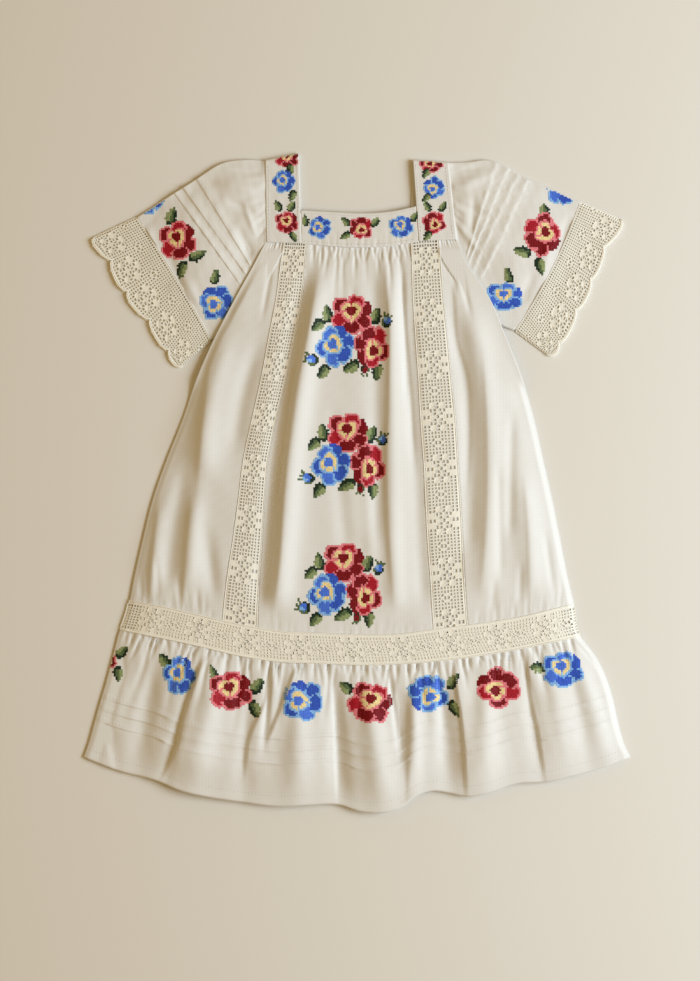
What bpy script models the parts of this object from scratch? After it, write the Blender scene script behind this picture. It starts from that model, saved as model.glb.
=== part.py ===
"""A toddler's embroidered dress, lying flat on its back.

Square yoke of two shoulder straps and a neck band, a front of five gathered panels and lace insertions,
a lace band round the skirt, a gathered flounce with three pin tucks, and short flared sleeves edged with
scalloped lace. The cloth lies in the XY plane, the hem towards -Y, and rests on Z = 0. The origin is the
centre of the dress's box on the surface that it lies on. Left and right are the viewer's.

Every table is in millimetres. Each cloth wall is a grid, laid out in plan between named edges, lifted by a
height function and doubled to give it its thickness.
"""

import math

import bmesh
import bpy
import numpy as np

MM = 0.001

# Thickness of the cloth and the spaces between pieces
WALL = 1.0
YOKE_WALL = 1.5
SEAM_GAP = 0.3
STEEPEST_WALL = 1.7

# Height of each layer's underside over the surface that the dress lies on
FRONT_REST = 1.3
YOKE_REST = 2.4
ARMHOLE_REST = 3.6
BODY_LOFT = 6.0
BAND_LOFT = 4.6
SIDE_ROLL = 15.0

# How far the front panels lie over the sleeves
ARMHOLE_LAP = 4.0
ARMHOLE_TOP_Y = 180.0
UNDERARM_Y = 112.0

# Flounce pin tucks: height of each line over the hem, and the tuck's own size
TUCK_LINES = (34.0, 44.0, 54.0)
TUCK_HEIGHT = 1.2
TUCK_WIDTH = 1.6

# Counts of gathers along the seams
YOKE_GATHERS = 18
SIDE_GATHERS = 8
FLOUNCE_GATHERS = 46

# Colours of the cloth and the lace
CREAM_COTTON = (0.86, 0.83, 0.76, 1.0)
ECRU_LACE = (0.84, 0.78, 0.66, 1.0)

# Plan of the body. Each row is one height; the columns are the edges between the panels, left to right
BODY_EDGES = {
    "y": (194.0, 180.0, 148.8, 116.8, 82.4, 50.4, 18.4, -13.6, -45.6, -77.6, -97.6, -121.0),
    "side_left": (-72.0, -79.2, -96.4, -113.2, -128.4, -139.6, -152.4, -163.6, -171.6, -178.8, -182.8, -190.4),
    "lace_left_outer": (-57.6, -60.0, -64.0, -70.0, -76.4, -83.6, -90.4, -94.4, -98.8, -103.6, -106.0, -108.0),
    "lace_left_inner": (-39.6, -40.8, -43.6, -49.2, -56.8, -64.4, -70.8, -73.6, -75.6, -77.8, -78.8, -79.6),
    "lace_right_inner": (43.6, 44.0, 44.8, 46.8, 49.2, 50.8, 53.2, 54.8, 56.4, 58.8, 60.0, 61.6),
    "lace_right_outer": (66.0, 67.0, 69.2, 72.4, 75.6, 78.8, 80.8, 82.8, 84.4, 86.0, 87.2, 89.0),
    "side_right": (80.4, 85.6, 105.6, 119.2, 132.4, 142.0, 149.2, 156.4, 162.8, 169.2, 173.8, 176.6),
}

# Seams that run across the body, as the height of the seam at each place
YOKE_SEAM = {
    "x": (-75.0, -43.6, -1.2, 28.0, 49.2, 82.0),
    "y": (192.0, 191.2, 188.4, 189.6, 192.8, 194.0),
}
LACE_BAND = {
    "x": (-192.0, -157.2, -125.2, -93.2, -61.2, -29.2, 2.8, 34.8, 66.8, 98.8, 130.8, 162.8, 180.0),
    "top": (-92.6, -98.4, -105.6, -112.8, -118.4, -120.0, -121.2, -120.8, -116.4, -112.4, -107.2, -99.6, -95.6),
    "bottom": (-116.4, -123.2, -130.0, -137.6, -142.4, -143.6, -144.8, -144.0, -141.6, -137.6, -132.0, -125.6, -122.0),
}

# The flounce: where each side edge runs, and the hem's line from left to right
FLOUNCE_SIDES = {
    "y": (-117.0, -123.0, -132.0, -145.0, -158.0, -174.0, -194.0, -210.0, -219.2),
    "left": (-189.6, -191.4, -193.6, -197.0, -200.4, -205.2, -210.8, -215.4, -218.8),
    "right": (176.2, 179.4, 186.4, 194.8, 200.4, 205.2, 209.6, 214.4, 218.8),
}
HEM = {
    "x": (-218.8, -189.2, -159.6, -141.2, -125.2, -93.2, -61.2, -37.2, -15.0, 2.8, 22.8, 34.8,
          46.8, 60.4, 74.8, 86.8, 102.8, 126.8, 154.8, 170.8, 194.8, 218.8),
    "y": (-219.2, -230.4, -238.0, -245.6, -249.6, -254.8, -258.4, -257.2, -257.0, -262.4, -262.8, -259.2,
          -250.4, -246.0, -248.0, -250.4, -248.0, -240.4, -238.4, -234.4, -228.0, -219.2),
}

# Soft folds of the skirt: a ridge is raised and a valley sunk, along a line through three places
BODY_FOLDS = (
    # name, (x, y) at the top, middle and foot, half width, height
    ("valley beside left insertion", (-30.0, 178.0), (-52.0, 66.0), (-68.0, -108.0), 7.5, -4.2),
    ("ridge left of centre", (-20.0, 178.0), (-38.0, 66.0), (-52.0, -108.0), 10.0, 5.2),
    ("valley right of centre", (17.0, 184.0), (23.0, 66.0), (22.0, -50.0), 7.0, -3.6),
    ("ridge right of centre", (28.0, 184.0), (33.0, 66.0), (32.0, -108.0), 8.5, 5.0),
    ("valley beside right insertion", (41.0, 150.0), (45.0, 60.0), (53.0, -104.0), 6.0, -3.0),
    ("valley past right insertion", (76.0, 146.0), (89.0, 60.0), (90.0, -60.0), 8.5, -4.0),
    ("ridge of right side", (92.0, 150.0), (105.0, 40.0), (101.0, -95.0), 10.0, 5.0),
    ("outer ridge of right side", (128.0, 20.0), (137.0, -40.0), (139.0, -92.0), 9.0, 3.6),
    ("valley past left insertion", (-76.0, 122.0), (-92.0, 66.0), (-98.0, 20.0), 7.5, -3.0),
    ("ridge of left side", (-104.0, 130.0), (-122.0, 60.0), (-121.0, 0.0), 11.0, 4.6),
    ("valley of left side", (-137.0, 26.0), (-146.0, -40.0), (-152.0, -92.0), 8.0, -3.4),
    ("outer ridge of left side", (-156.0, 0.0), (-163.0, -50.0), (-165.0, -90.0), 6.0, 2.6),
    ("low ridge of left side", (-126.0, 4.0), (-131.0, -46.0), (-133.0, -88.0), 7.0, 2.8),
    ("valley at left foot", (-120.0, -30.0), (-117.0, -62.0), (-113.0, -100.0), 6.0, -2.8),
)

# Waves of the flounce, from the band to the hem
FLOUNCE_FOLDS = (
    # name, x at the band, x at the hem, half width at the hem, height, how far down it reaches
    ("left edge ridge", -175.0, -207.0, 9.0, 3.2, 1.0),
    ("left valley", -156.0, -176.0, 11.0, -3.6, 1.0),
    ("crease beside first ridge", -121.0, -154.0, 5.0, -2.4, 1.0),
    ("first ridge", -103.0, -133.0, 14.0, 5.6, 1.0),
    ("shallow valley", -84.0, -91.0, 9.0, -2.8, 1.0),
    ("short crease left of centre", -67.0, -78.0, 3.4, -3.0, 0.7),
    ("second ridge", -47.0, -47.0, 13.0, 4.6, 1.0),
    ("centre valley", -19.0, -13.0, 9.5, -4.4, 1.0),
    ("third ridge", 5.0, 22.0, 14.0, 5.8, 1.0),
    ("short crease right of centre", 24.0, 41.0, 3.4, -3.0, 0.75),
    ("low ridge", 46.0, 46.0, 7.0, 2.8, 1.0),
    ("right valley", 68.0, 74.0, 10.0, -4.6, 1.0),
    ("fourth ridge", 102.0, 104.0, 13.0, 5.2, 1.0),
    ("outer valley", 132.0, 149.0, 9.0, -4.4, 1.0),
    ("fifth ridge", 150.0, 169.0, 11.0, 4.6, 1.0),
    ("edge valley", 163.0, 188.0, 7.0, -2.6, 1.0),
    ("right edge ridge", 170.0, 205.0, 8.0, 3.4, 1.0),
)

# Straps, from the front seam over the shoulder to the back: outer and inner edge
STRAPS = {
    "left": {
        "foot": (-71.6, -43.9), "shoulder": (-72.6, -46.0), "foot_y": (192.2, 191.6),
        "shoulder_y": (258.4, 263.62), "back_slant": 0.0,
    },
    "right": {
        "foot": (79.6, 49.5), "shoulder": (73.0, 44.8), "foot_y": (194.5, 193.3),
        "shoulder_y": (256.4, 258.4), "back_slant": -7.0,
    },
}
BACK_YOKE_SEAM_Y = 191.0
BACK_NECK_TOP_Y = 214.0

NECK_BAND = {
    "x": (-43.6, -15.0, 2.8, 28.0, 49.2),
    "top": (218.0, 216.4, 215.6, 217.2, 221.6),
}

# Sleeves: the top fold from cuff to shoulder, and the armhole end, both against the share of the way in
SLEEVES = {
    "left": {
        "way": (0.0, 0.14, 0.26, 0.38, 0.46, 0.54, 0.68, 0.84, 1.0),
        "fold_x": (-175.6, -162.0, -154.0, -146.8, -140.4, -129.6, -109.0, -88.0, -73.2),
        "fold_y": (212.8, 221.6, 227.0, 231.6, 235.6, 242.4, 255.4, 258.8, 257.6),
        "end_y": (114.4, 122.0, 140.0, 153.0, 161.0, 168.0, 177.0, 184.0, 191.6),
        "end_out": (5.6, 0.0, 0.0, 0.0, 0.0, 0.0, 0.0, 0.0, 0.0),
        "seam_bow": -1.6,
    },
    "right": {
        "way": (0.0, 0.14, 0.26, 0.38, 0.46, 0.54, 0.68, 0.84, 1.0),
        "fold_x": (178.8, 162.0, 150.0, 137.6, 129.6, 121.6, 106.0, 89.0, 73.8),
        "fold_y": (224.8, 232.4, 237.6, 242.8, 246.8, 252.0, 258.2, 256.8, 256.2),
        "end_y": (121.8, 130.0, 146.0, 157.0, 165.0, 172.0, 180.0, 187.0, 193.4),
        "end_out": (13.4, 0.0, 0.0, 0.0, 0.0, 0.0, 0.0, 0.0, 0.0),
        "seam_bow": 4.0,
    },
}
SLEEVE_TUCK_WAYS = (0.38, 0.46, 0.54)
SLEEVE_ROWS = (0.0, 0.14, 0.24, 0.32, 0.38, 0.46, 0.54, 0.6, 0.68, 0.76, 0.84, 0.92, 1.0)
SLEEVE_END_TOP = 3.2
SLEEVE_FOLD_TOP = 3.6
SLEEVE_PUFF = 2.6
CLOTH_LAYER = 1.0

# Scalloped edging: the outer line that the notches lie on, from the top fold to the underarm
SLEEVE_LACE = {
    "left": {
        "x": (-210.4, -195.6, -182.8, -165.2, -150.0, -139.6),
        "y": (196.4, 178.4, 153.6, 131.2, 107.2, 93.0),
        "out": (-0.85, -0.53),
    },
    "right": {
        "x": (211.6, 197.2, 186.8, 174.8, 161.2, 152.4),
        "y": (210.4, 189.6, 164.0, 139.2, 113.6, 102.4),
        "out": (0.85, -0.53),
    },
}
SCALLOP_DEPTH = 5.0
SCALLOP_COLUMNS = 5


def smooth_step(value, low, high):
    """0 below low, 1 above high, and a soft slope between."""
    share = np.clip((np.asarray(value, float) - low) / (high - low), 0.0, 1.0)
    return share * share * (3.0 - 2.0 * share)


def along(table, key, value, by):
    """The smooth curve through a table's column, read at a value of its column named by."""
    places = np.asarray(table[by], float)
    heights = np.asarray(table[key], float)
    if places[0] > places[-1]:
        places, heights = places[::-1], heights[::-1]
    value = np.clip(np.asarray(value, float), places[0], places[-1])
    cell = np.clip(np.searchsorted(places, value) - 1, 0, len(places) - 2)
    width = places[cell + 1] - places[cell]
    share = (value - places[cell]) / width
    slopes = np.gradient(heights, places)
    start = (1 + 2 * share) * (1 - share) ** 2 * heights[cell]
    start_slope = share * (1 - share) ** 2 * width * slopes[cell]
    end = share**2 * (3 - 2 * share) * heights[cell + 1]
    end_slope = share**2 * (share - 1) * width * slopes[cell + 1]
    return start + start_slope + end + end_slope


def body_edge(name, y):
    return along(BODY_EDGES, name, y, "y")


def yoke_seam(x):
    return along(YOKE_SEAM, "y", x, "x")


def band_edge(name, x):
    return along(LACE_BAND, name, x, "x")


def hem_line(x):
    return along(HEM, "y", x, "x")


def side_edge(side, y):
    """Outer edge of the front at any height, from the yoke to the hem."""
    body = body_edge("side_" + side, y)
    flounce = along(FLOUNCE_SIDES, side, y, "y")
    return np.where(np.asarray(y) > FLOUNCE_SIDES["y"][0], body, flounce)


def armhole_edge(side, y):
    """The armhole seam, which lies inside the front's edge and under it."""
    inward = ARMHOLE_LAP * smooth_step(y, UNDERARM_Y - 14.0, UNDERARM_Y)
    inward = inward * (1.0 - smooth_step(y, ARMHOLE_TOP_Y - 15.0, ARMHOLE_TOP_Y))
    return side_edge(side, y) + (inward if side == "left" else -inward)


def plan_point(u, v, left, right, top, bottom):
    """The place in a panel between two side edges, read at y, and two seams, read at x."""
    x = left(0.0) + u * (right(0.0) - left(0.0))
    y = 0.0
    for _ in range(6):
        y = top(x) + v * (bottom(x) - top(x))
        x = left(y) + u * (right(y) - left(y))
    return x, y


def fold_line(fold, y):
    """Centre of a body fold at a height, on the curve through its three places."""
    _, top, middle, foot, _, _ = fold
    places = {"y": (foot[1], middle[1], top[1]), "x": (foot[0], middle[0], top[0])}
    return along(places, "x", y, "y")


def body_folds(x, y):
    """Sum of the skirt's soft ridges and valleys."""
    total = 0.0
    for fold in BODY_FOLDS:
        _, top, _, foot, half_width, height = fold
        fade = smooth_step(y, foot[1] - 4.0, foot[1] + 26.0) * (1.0 - smooth_step(y, top[1] - 36.0, top[1] + 4.0))
        total = total + height * fade * np.exp(-(((x - fold_line(fold, y)) / half_width) ** 2))
    return total


def flounce_folds(x, v):
    """Sum of the flounce's waves at the share v of the way from the band to the hem."""
    total = 0.0
    for _, band_x, hem_x, half_width, height, reach in FLOUNCE_FOLDS:
        centre = band_x + (hem_x - band_x) * min(v, 1.0) ** 0.85
        width = half_width * (0.45 + 0.55 * v)
        fade = smooth_step(v, 0.02, 0.45)
        if reach < 1.0:
            fade = smooth_step(v, 0.0, 0.2) * (1.0 - smooth_step(v, reach - 0.3, reach))
        total = total + height * fade * math.exp(-(((x - centre) / width) ** 2))
    return total


def front_floor(x, y):
    """The lowest that the front may lie: over the sleeves beside the armholes, over the back elsewhere."""
    inside = min(x - side_edge("left", y), side_edge("right", y) - x)
    if inside > 18.0 or y < UNDERARM_Y - 40.0:
        return FRONT_REST
    over_sleeve = smooth_step(y, 62.0, 88.0) * smooth_step(yoke_seam(x) - y, 0.0, 9.0)
    return float(FRONT_REST + (ARMHOLE_REST - FRONT_REST) * over_sleeve)


def front_underside(x, y):
    """Underside of the body's front: low at the side seams and the yoke, over the sleeves at the armholes."""
    left, right = side_edge("left", y), side_edge("right", y)
    inside = max(min(x - left, right - x), 0.0)
    rim = FRONT_REST + (ARMHOLE_REST - FRONT_REST) * smooth_step(y, 62.0, 88.0)
    yoke = 1.0 - smooth_step(yoke_seam(x) - y, 0.0, 9.0)
    rim = rim + (YOKE_REST - rim) * yoke
    loft = YOKE_REST + (BODY_LOFT - YOKE_REST) * smooth_step(yoke_seam(x) - y, 0.0, 70.0)
    band = smooth_step(y - band_edge("top", x), 0.0, 30.0)
    loft = BAND_LOFT + (loft - BAND_LOFT) * band
    roll = 1.0 - math.exp(-((inside / SIDE_ROLL) ** 2))
    height = rim + (loft + body_folds(x, y) * band - rim) * roll
    return max(float(height), front_floor(x, y))


def flounce_underside(x, y, v):
    left, right = side_edge("left", y), side_edge("right", y)
    inside = max(min(x - left, right - x), 0.0)
    roll = 1.0 - math.exp(-((inside / SIDE_ROLL) ** 2))
    loft = BAND_LOFT + (BODY_LOFT - BAND_LOFT) * smooth_step(v, 0.0, 0.4)
    height = FRONT_REST + (loft + flounce_folds(x, v) - FRONT_REST) * roll
    return max(float(height), FRONT_REST)


def wall_height(underside, x, y, wall):
    """Height that a wall of this thickness takes on a slope."""
    step = 1.0
    dx = (underside(x + step, y) - underside(x - step, y)) / (2 * step)
    dy = (underside(x, y + step) - underside(x, y - step)) / (2 * step)
    return wall * min(STEEPEST_WALL, math.sqrt(1.0 + dx * dx + dy * dy))


def material(name, colour, roughness):
    made = bpy.data.materials.new(name)
    made.use_nodes = True
    shader = made.node_tree.nodes["Principled BSDF"]
    shader.inputs["Base Color"].default_value = colour
    shader.inputs["Roughness"].default_value = roughness
    shader.inputs["Metallic"].default_value = 0.0
    return made


def cloth_wall(name, columns, rows, skin, cloth, rolled=False):
    """A wall of cloth as one object.

    columns and rows are the grid's parameters. skin(c, r) gives the wall's two faces at a place, as
    (outer point, inner point) in millimetres. A rolled wall's last column is its first.
    """
    mesh = bmesh.new()
    across, down = len(columns) - 1, len(rows) - 1
    bmesh.ops.create_grid(mesh, x_segments=across, y_segments=down, size=0.5)
    number = mesh.verts.layers.int.new("number")
    inner_points = {}
    for vertex in mesh.verts:
        c = round((vertex.co.x + 0.5) * across)
        r = round((vertex.co.y + 0.5) * down)
        vertex[number] = r * (across + 1) + (c % across if rolled else c)
        outer, inner = skin(columns[c], rows[r])
        vertex.co = [value * MM for value in outer]
        inner_points[vertex[number]] = [value * MM for value in inner]
    if rolled:
        bmesh.ops.remove_doubles(mesh, verts=mesh.verts[:], dist=1e-6)
    doubled = bmesh.ops.extrude_face_region(mesh, geom=mesh.faces[:])
    for item in doubled["geom"]:
        if isinstance(item, bmesh.types.BMVert):
            item.co = inner_points[item[number]]
    bmesh.ops.recalc_face_normals(mesh, faces=mesh.faces[:])
    data = bpy.data.meshes.new(name)
    mesh.to_mesh(data)
    mesh.free()
    data.materials.append(cloth)
    made = bpy.data.objects.new(name, data)
    DRESS.objects.link(made)
    return made


def panel(name, columns, rows, place, underside, cloth, wall=WALL, relief=None):
    """A flat-laid panel: place(u, v) is its plan, underside(x, y) its height, relief(x, y) its gathers' depth."""

    def skin(column, v):
        x, y = place(column[0], v)
        low = underside(x, y)
        high = low + wall_height(underside, x, y, wall)
        lift = max(column[1] * relief(x, y), front_floor(x, y) - low) if relief else 0.0
        return (x, y, high + lift), (x, y, low + lift)

    return cloth_wall(name, columns, rows, skin, cloth)


def gather_columns(count):
    """Two columns for each gather, uneven as gathers are: (share across the panel, height of the fold)."""
    columns = []
    for number in range(2 * count + 1):
        inside = 0 < number < 2 * count
        shift = 0.42 * math.sin(1.9 * number) if inside else 0.0
        height = (0.66 + 0.34 * math.sin(2.3 * number + 0.7)) * (1.0 if number % 2 else -0.8) if inside else 0.0
        columns.append(((number + shift) / (2 * count), height))
    return columns


def plain_columns(count):
    return [(share, 0.0) for share in np.linspace(0.0, 1.0, count + 1)]


BODY_ROWS = (0.0, 0.025, 0.06, 0.12, 0.2, 0.3, 0.4, 0.5, 0.6, 0.7, 0.8, 0.88, 0.94, 0.975, 1.0)


def gather_depth(x, y):
    """How deep the gathers are: under the yoke, fading down the skirt, and a little over the lace band."""
    from_yoke = yoke_seam(x) - y
    from_band = y - band_edge("top", x)
    at_yoke = smooth_step(from_yoke, 0.0, 8.0) * (1.0 - smooth_step(from_yoke, 16.0, 62.0))
    at_band = smooth_step(from_band, 0.0, 6.0) * (1.0 - smooth_step(from_band, 6.0, 26.0))
    return 0.9 * at_yoke + 0.6 * at_band


def body_panel(name, left, right, columns, cloth):
    """A piece of the body's front between two edges of the plan, from the yoke seam to the lace band."""
    gap = SEAM_GAP / 2

    def left_edge(y):
        return body_edge(left, y) + (0.0 if left.startswith("side") else gap)

    def right_edge(y):
        return body_edge(right, y) - (0.0 if right.startswith("side") else gap)

    def place(u, v):
        return plan_point(u, v, left_edge, right_edge,
                          lambda x: yoke_seam(x) - gap, lambda x: band_edge("top", x) + gap)

    panel(name, columns, BODY_ROWS, place, front_underside, cloth, relief=gather_depth)


def build_body():
    body_panel("front_centre_panel", "lace_left_inner", "lace_right_inner",
               gather_columns(YOKE_GATHERS), COTTON)
    body_panel("front_side_panel_left", "side_left", "lace_left_outer",
               gather_columns(SIDE_GATHERS), COTTON)
    body_panel("front_side_panel_right", "lace_right_outer", "side_right",
               gather_columns(SIDE_GATHERS), COTTON)
    body_panel("lace_insertion_left", "lace_left_outer", "lace_left_inner", plain_columns(4), LACE)
    body_panel("lace_insertion_right", "lace_right_inner", "lace_right_outer", plain_columns(4), LACE)


def build_lace_band():
    def place(u, v):
        return plan_point(u, v, lambda y: side_edge("left", y), lambda y: side_edge("right", y),
                          lambda x: band_edge("top", x) - SEAM_GAP / 2,
                          lambda x: band_edge("bottom", x) + SEAM_GAP / 2)

    panel("lace_band_front", plain_columns(FLOUNCE_GATHERS), np.linspace(0, 1, 4), place, front_underside, LACE)


def flounce_place(u, v):
    return plan_point(u, v, lambda y: side_edge("left", y), lambda y: side_edge("right", y),
                      lambda x: band_edge("bottom", x) - SEAM_GAP / 2, hem_line)


def build_flounce():
    tuck_rows = []
    length = 113.0
    for line in TUCK_LINES:
        share = 1.0 - line / length
        tuck_rows += [share - TUCK_WIDTH / length, share]
    rows = sorted([0.0, 0.05, 0.12, 0.22, 0.36, 1.0] + tuck_rows + [0.86])
    crests = {round(row, 6) for row in tuck_rows[1::2]}

    def skin(column, v):
        x, y = flounce_place(column[0], v)
        low = flounce_underside(x, y, v)
        high = low + wall_height(lambda a, b: flounce_underside(a, b, v), x, y, WALL)
        wave = 1.2 * column[1] * smooth_step(v, 0.0, 0.05) * (1.0 - smooth_step(v, 0.14, 0.46))
        crest = TUCK_HEIGHT if round(v, 6) in crests else 0.0
        return (x, y, high + wave + crest), (x, y, max(low + wave, FRONT_REST))

    cloth_wall("flounce_front", gather_columns(FLOUNCE_GATHERS), rows, skin, COTTON)


def build_back():
    """The back lies flat on the surface: yoke band, panel, lace band and flounce, each one layer."""

    def layer(name, columns, rows, place, cloth, wall=WALL):
        def skin(u, v):
            x, y = place(u, v)
            return (x, y, wall), (x, y, 0.0)

        cloth_wall(name, columns, rows, skin, cloth)

    def panel_place(u, row):
        """Rows of the armholes are shared with the sleeves; below them the rows run down to the lace band."""
        kind, value = row
        ends = [armhole_end(side, value if kind == "armhole" else 0.0)[1] for side in ("left", "right")]
        if kind == "top":
            ends = [BACK_YOKE_SEAM_Y - SEAM_GAP] * 2
        x = y = 0.0
        for _ in range(6):
            y = ends[0] + u * (ends[1] - ends[0])
            if kind == "below":
                y = y + value * (band_edge("top", x) + SEAM_GAP / 2 - y)
            left, right = armhole_edge("left", y), armhole_edge("right", y)
            if kind == "armhole":
                left, right = armhole_edge("left", ends[0]), armhole_edge("right", ends[1])
            x = left + u * (right - left)
        return x, y

    def band_place(u, v):
        return plan_point(u, v, lambda y: side_edge("left", y), lambda y: side_edge("right", y),
                          lambda x: band_edge("top", x) - SEAM_GAP / 2,
                          lambda x: band_edge("bottom", x) + SEAM_GAP / 2)

    rows = [("top", 0.0)] + [("armhole", way) for way in SLEEVE_ROWS[-2::-1]]
    rows += [("below", share) for share in (0.08, 0.2, 0.36, 0.52, 0.68, 0.84, 1.0)]
    layer("back_panel", np.linspace(0, 1, 13), rows, panel_place, COTTON)
    layer("lace_band_back", np.linspace(0, 1, 33), (0.0, 0.5, 1.0), band_place, LACE)
    layer("flounce_back", np.linspace(0, 1, 33), (0.0, 0.2, 0.4, 0.6, 0.8, 1.0), flounce_place, COTTON)


def strap_edges(strap):
    """Outer and inner edge lines of a strap as functions of the way along it.

    The way runs from 0 at the front seam to 1 on the shoulder and 2 at the back seam.
    """

    def edge(side, way):
        foot, shoulder = strap["foot"][side], strap["shoulder"][side]
        foot_y, shoulder_y = strap["foot_y"][side], strap["shoulder_y"][side]
        if way <= 1.0:
            return foot + (shoulder - foot) * way, foot_y + (shoulder_y - foot_y) * way
        share = way - 1.0
        slant = strap["back_slant"] * share
        return (shoulder + (foot - shoulder) * share + slant,
                shoulder_y + (BACK_YOKE_SEAM_Y - shoulder_y) * share)

    return edge


FOLD_TURNS = (60.0, 20.0, -20.0, -60.0)


def build_strap(side):
    """A strap in one piece: flat on the front, folded over the shoulder, and flat again on the back."""
    strap = STRAPS[side]
    edge = strap_edges(strap)
    front_top = YOKE_REST + YOKE_WALL
    radius = front_top / 2
    stations = [("front", way) for way in (0.0, 0.25, 0.5, 0.75)]
    stations += [("front", 1.0 - radius / 67.0)]
    stations += [("fold", turn) for turn in FOLD_TURNS]
    stations += [("back", 1.0 + radius / 72.0), ("back", 1.25), ("back", 1.5), ("back", 1.75), ("back", 2.0)]

    def skin(across, station):
        kind, value = stations[int(station)]
        way = value if kind != "fold" else 1.0
        x0, y0 = edge(0, way)
        x1, y1 = edge(1, way)
        x, y = x0 + across * (x1 - x0), y0 + across * (y1 - y0)
        if kind == "front":
            return (x, y, front_top), (x, y, YOKE_REST)
        if kind == "back":
            return (x, y, 0.0), (x, y, YOKE_WALL)
        turn = math.radians(value)
        inner = max(radius - YOKE_WALL, 0.2)
        centre = y - radius
        return ((x, centre + radius * math.cos(turn), radius + radius * math.sin(turn)),
                (x, centre + inner * math.cos(turn), radius + inner * math.sin(turn)))

    cloth_wall("strap_" + side, np.linspace(0, 1, 4), range(len(stations)), skin, COTTON)


def strap_inner_x(side, y, leg):
    """Where a strap's inner edge is at a height, on its front leg or its back leg."""
    edge = strap_edges(STRAPS[side])
    foot = edge(1, 0.0 if leg == "front" else 2.0)
    shoulder = edge(1, 1.0)
    return foot[0] + (shoulder[0] - foot[0]) * (y - foot[1]) / (shoulder[1] - foot[1])


def build_neck_bands():
    """Front and back of the square neck, each a straight band between the straps."""

    def band(name, columns, leg, bottom, top, low, high):
        def skin(u, v):
            x = u * 90.0 - 44.0
            for _ in range(6):
                y = bottom(x) + (top(x) - bottom(x)) * (1.0 - v)
                left = strap_inner_x("left", y, leg) + SEAM_GAP
                right = strap_inner_x("right", y, leg) - SEAM_GAP
                x = left + u * (right - left)
            return (x, y, high), (x, y, low)

        cloth_wall(name, columns, (0.0, 0.33, 0.66, 1.0), skin, COTTON)

    band("neck_band_front", np.linspace(0, 1, 13), "front", lambda x: yoke_seam(x) + SEAM_GAP / 2,
         lambda x: along(NECK_BAND, "top", x, "x"), YOKE_REST, YOKE_REST + YOKE_WALL)
    band("neck_band_back", np.linspace(0, 1, 7), "back", lambda x: BACK_YOKE_SEAM_Y,
         lambda x: BACK_NECK_TOP_Y, 0.0, YOKE_WALL)


def armhole_end(side, way):
    """Where a line across the sleeve starts at the armhole seam, at the share of the way from cuff to strap."""
    y = float(along(SLEEVES[side], "end_y", way, "way"))
    out = SEAM_GAP + float(np.interp(way, SLEEVES[side]["way"], SLEEVES[side]["end_out"]))
    return float(armhole_edge(side, y)) + (-out if side == "left" else out), y


def sleeve_row(side, way):
    """Ends of a line across the sleeve: (armhole end, top fold) at the share of the way from cuff to strap."""
    table = SLEEVES[side]
    end = np.array(armhole_end(side, way))
    fold = np.array([along(table, "fold_x", way, "way"), along(table, "fold_y", way, "way")])
    return end, fold


def sleeve_plan(side, way, share):
    """Plan of the sleeve: share 0 at the armhole end, 1 at the top fold."""
    end, fold = sleeve_row(side, way)
    span = fold - end
    outward = np.array([-span[1], span[0]]) / np.linalg.norm(span)
    if side == "right":
        outward = -outward
    bow = SLEEVES[side]["seam_bow"] * 4.0 * share * (1.0 - share) * (1.0 - smooth_step(way, 0.0, 0.5))
    return end + span * share + outward * abs(bow) * np.sign(bow)


def sleeve_top(way, share):
    """Top of the sleeve's upper layer, without its tucks."""
    base = SLEEVE_END_TOP + (SLEEVE_FOLD_TOP - SLEEVE_END_TOP) * share
    rise = smooth_step(share, 0.1, 0.42) * (1.0 - smooth_step(share, 0.62, 0.97))
    ends = smooth_step(way, -0.12, 0.2) * (1.0 - 0.55 * smooth_step(way, 0.8, 1.0))
    return base + SLEEVE_PUFF * rise * ends


def folded_skin(plan, top, fold_radius, wall, width, relief=0.0):
    """Skin of a cloth folded over its top edge: share runs up the front, round the fold and down the back."""

    def skin(share):
        if share[0] == "front":
            x, y = plan(share[1])
            z = top(share[1])
            return (x, y, z + relief), (x, y, z - wall)
        if share[0] == "back":
            x, y = plan(share[1])
            return (x, y, 0.0), (x, y, CLOTH_LAYER)
        turn = math.radians(share[1])
        edge, inner_edge = plan(1.0), plan(1.0 - fold_radius / width)
        out = (edge - inner_edge) / np.linalg.norm(edge - inner_edge)
        inner = fold_radius - wall
        x, y = inner_edge + out * fold_radius * math.cos(turn)
        ix, iy = inner_edge + out * max(inner, 0.25) * math.cos(turn)
        return ((x, y, fold_radius * (1.0 + math.sin(turn))),
                (ix, iy, fold_radius + max(inner, 0.25) * math.sin(turn)))

    return skin


def build_sleeve(side):
    """A sleeve in one piece, folded over its top edge, with three pin tucks along the front."""
    radius = SLEEVE_FOLD_TOP / 2
    columns = [("front", share) for share in (0.0, 0.1, 0.18, 0.28, 0.4, 0.52, 0.64, 0.76, 0.88)]
    columns += [("front", "rim")] + [("fold", turn) for turn in FOLD_TURNS] + [("back", "rim")]
    columns += [("back", share) for share in (0.8, 0.55, 0.3, 0.0)]
    rows = sorted(SLEEVE_ROWS + tuple(way - 0.014 for way in SLEEVE_TUCK_WAYS))

    def skin(index, way):
        kind, value = columns[int(index)]
        end, fold = sleeve_row(side, way)
        width = float(np.linalg.norm(fold - end))
        if value == "rim":
            value = 1.0 - radius / width
        crest = TUCK_HEIGHT if way in SLEEVE_TUCK_WAYS and 0.12 < (value if kind == "front" else 0) < 0.93 else 0.0
        plan = lambda share: sleeve_plan(side, way, share)
        top = lambda share: float(sleeve_top(way, share))
        return folded_skin(plan, top, radius, CLOTH_LAYER, width, crest)((kind, value))

    cloth_wall("sleeve_" + side, range(len(columns)), rows, skin, COTTON)


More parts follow.
